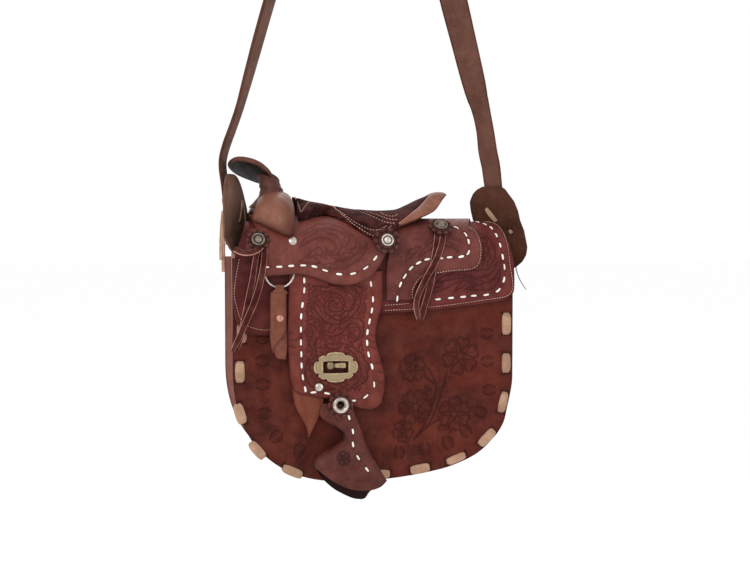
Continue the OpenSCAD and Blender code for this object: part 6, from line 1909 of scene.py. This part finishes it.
def plate_outline(a, w=19.0, h=13.0):
    """Lobed oval of the lock plate: broad lobes on the four sides, small ones between them."""
    m = np.mod(a, math.pi / 2)
    lobe = 1 - 0.115 * (np.exp(-(((m - 0.5) / 0.085) ** 2))
                        + np.exp(-(((m - 1.07) / 0.085) ** 2))) - 0.02 * np.sin(2 * a) ** 2
    return np.stack([w * lobe * np.cos(a), h * lobe * np.sin(a)], -1)


def lock():
    """The slotted plate with its raised rim, and the turning bar with its rounded grip."""
    a = np.linspace(0, 2 * math.pi, 240, endpoint=False)
    edge = plate_outline(a)
    t_in = np.minimum(10.7 / np.maximum(np.abs(edge[:, 0]), 1e-6), 4.9 / np.maximum(np.abs(edge[:, 1]), 1e-6))
    hole = edge * t_in[:, None]
    rows = [(0, -45.05), (0, -46.0), (0.05, -46.28), (0.14, -46.36), (0.2, -46.2), (0.26, -46.12),
            (0.55, -46.14), (0.72, -46.14), (0.78, -46.2), (0.84, -46.42), (0.9, -46.5), (0.95, -46.42),
            (0.985, -46.2), (1.0, -45.8), (1.0, -45.05)]
    grid = np.stack([np.concatenate([hole * (1 - t) + edge * t, np.full((240, 1), y)], 1) for t, y in rows])
    grid = np.stack([LOCK_X + grid[..., 0], grid[..., 2], LOCK_Z + grid[..., 1]], -1)
    dark = np.array([0.95, 0.6, 0.2, 0.1, 0.45, 0.5, 0.42, 0.45, 0.8, 0.3, 0, 0, 0.25, 0.6, 0.9])
    piece("lock_plate_face", grid, skin(grid, 6 * 240, FRONT, closed=True), "fender", BRASS,
          ("lock_plate",), {"cut": dark[:, None] + 0 * a})
    u = np.linspace(-1, 1, 45)
    radius = table([(-1, 0.05), (-0.97, 0.95), (-0.85, 2.6), (-0.62, 3.3), (-0.4, 2.8), (-0.25, 1.8),
                    (-0.1, 1.7), (0.1, 2.0), (0.45, 2.2), (0.8, 2.3), (0.93, 2.0), (0.985, 0.8),
                    (1, 0.05)], u)
    ring = np.linspace(0, 2 * math.pi, 32, endpoint=False)
    bar = np.stack([LOCK_X + u[:, None] * 8.4 + 0 * ring, -48.4 + 0.5 * radius[:, None] * np.cos(ring),
                    BAR_Z + radius[:, None] * np.sin(ring)], -1)
    n = len(ring)
    post = np.stack([LOCK_X + 1.75 * np.cos(ring), 0 * ring, BAR_Z + 1.75 * np.sin(ring)], -1)
    stem = np.stack([post + (0, y, 0) for y in (-40.25, -48.1)])
    stem_faces = [f + bar.size // 3 for f in skin(stem, 0)]
    # Darker on the knob, round its neck, at both ends and on the stem behind the bar.
    worn = (0.35 + 0.3 * (u < -0.25) + 0.6 * np.exp(-((u + 0.22) / 0.09) ** 2)
            + 0.25 * (np.abs(u) > 0.93))
    shade = np.append(np.repeat(np.clip(worn, 0, 1), n), np.full(2 * n, 0.8))
    piece("lock_bar", np.concatenate([bar.reshape(-1, 3), stem.reshape(-1, 3)]),
          skin(bar, 22 * n) + stem_faces, "toggle", BRASS, ("lock_toggle",), {"cut": shade})


def dress_metal():
    """Metals for the fittings that stay as the CAD made them."""
    for material, names in (
        (BRASS, ("lock_plate_backing", "lock_base", "lock_backing")),
        (NICKEL, ("jockey_rivet", "fender_rivet", "cinch_ring")),
        (COPPER, ("billet_rivet",)),
    ):
        for name in names:
            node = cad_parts[name]
            for slot in node.material_slots:
                slot.link = "OBJECT"
                slot.material = material


# ---------------------------------------------------------------- the whole bag


set_camera()
set_light()
floor()
hanging_strings()
bag_panels()
saddle_skirt()
rear_band()
seat_jockey()
fender_and_tongue()
seat_pad()
cantle_roll()
swell_dome()
horn()
gusset_channel()
ears()
strap()
ties()
hood()
for node, owner, bore, reach in (("front_rosette", "flap", 0, 10), ("seat_rosette", "flap", 0, 11.6),
                                 ("rear_rosette", "flap", 0, 11), ("stirrup_rosette", "stirrup", 3.6, 11)):
    rosette(node, owner, reach, bore)
conchos()
eyelet()
lock()
billet_strap()
keeper()
front_tab()
dress_metal()
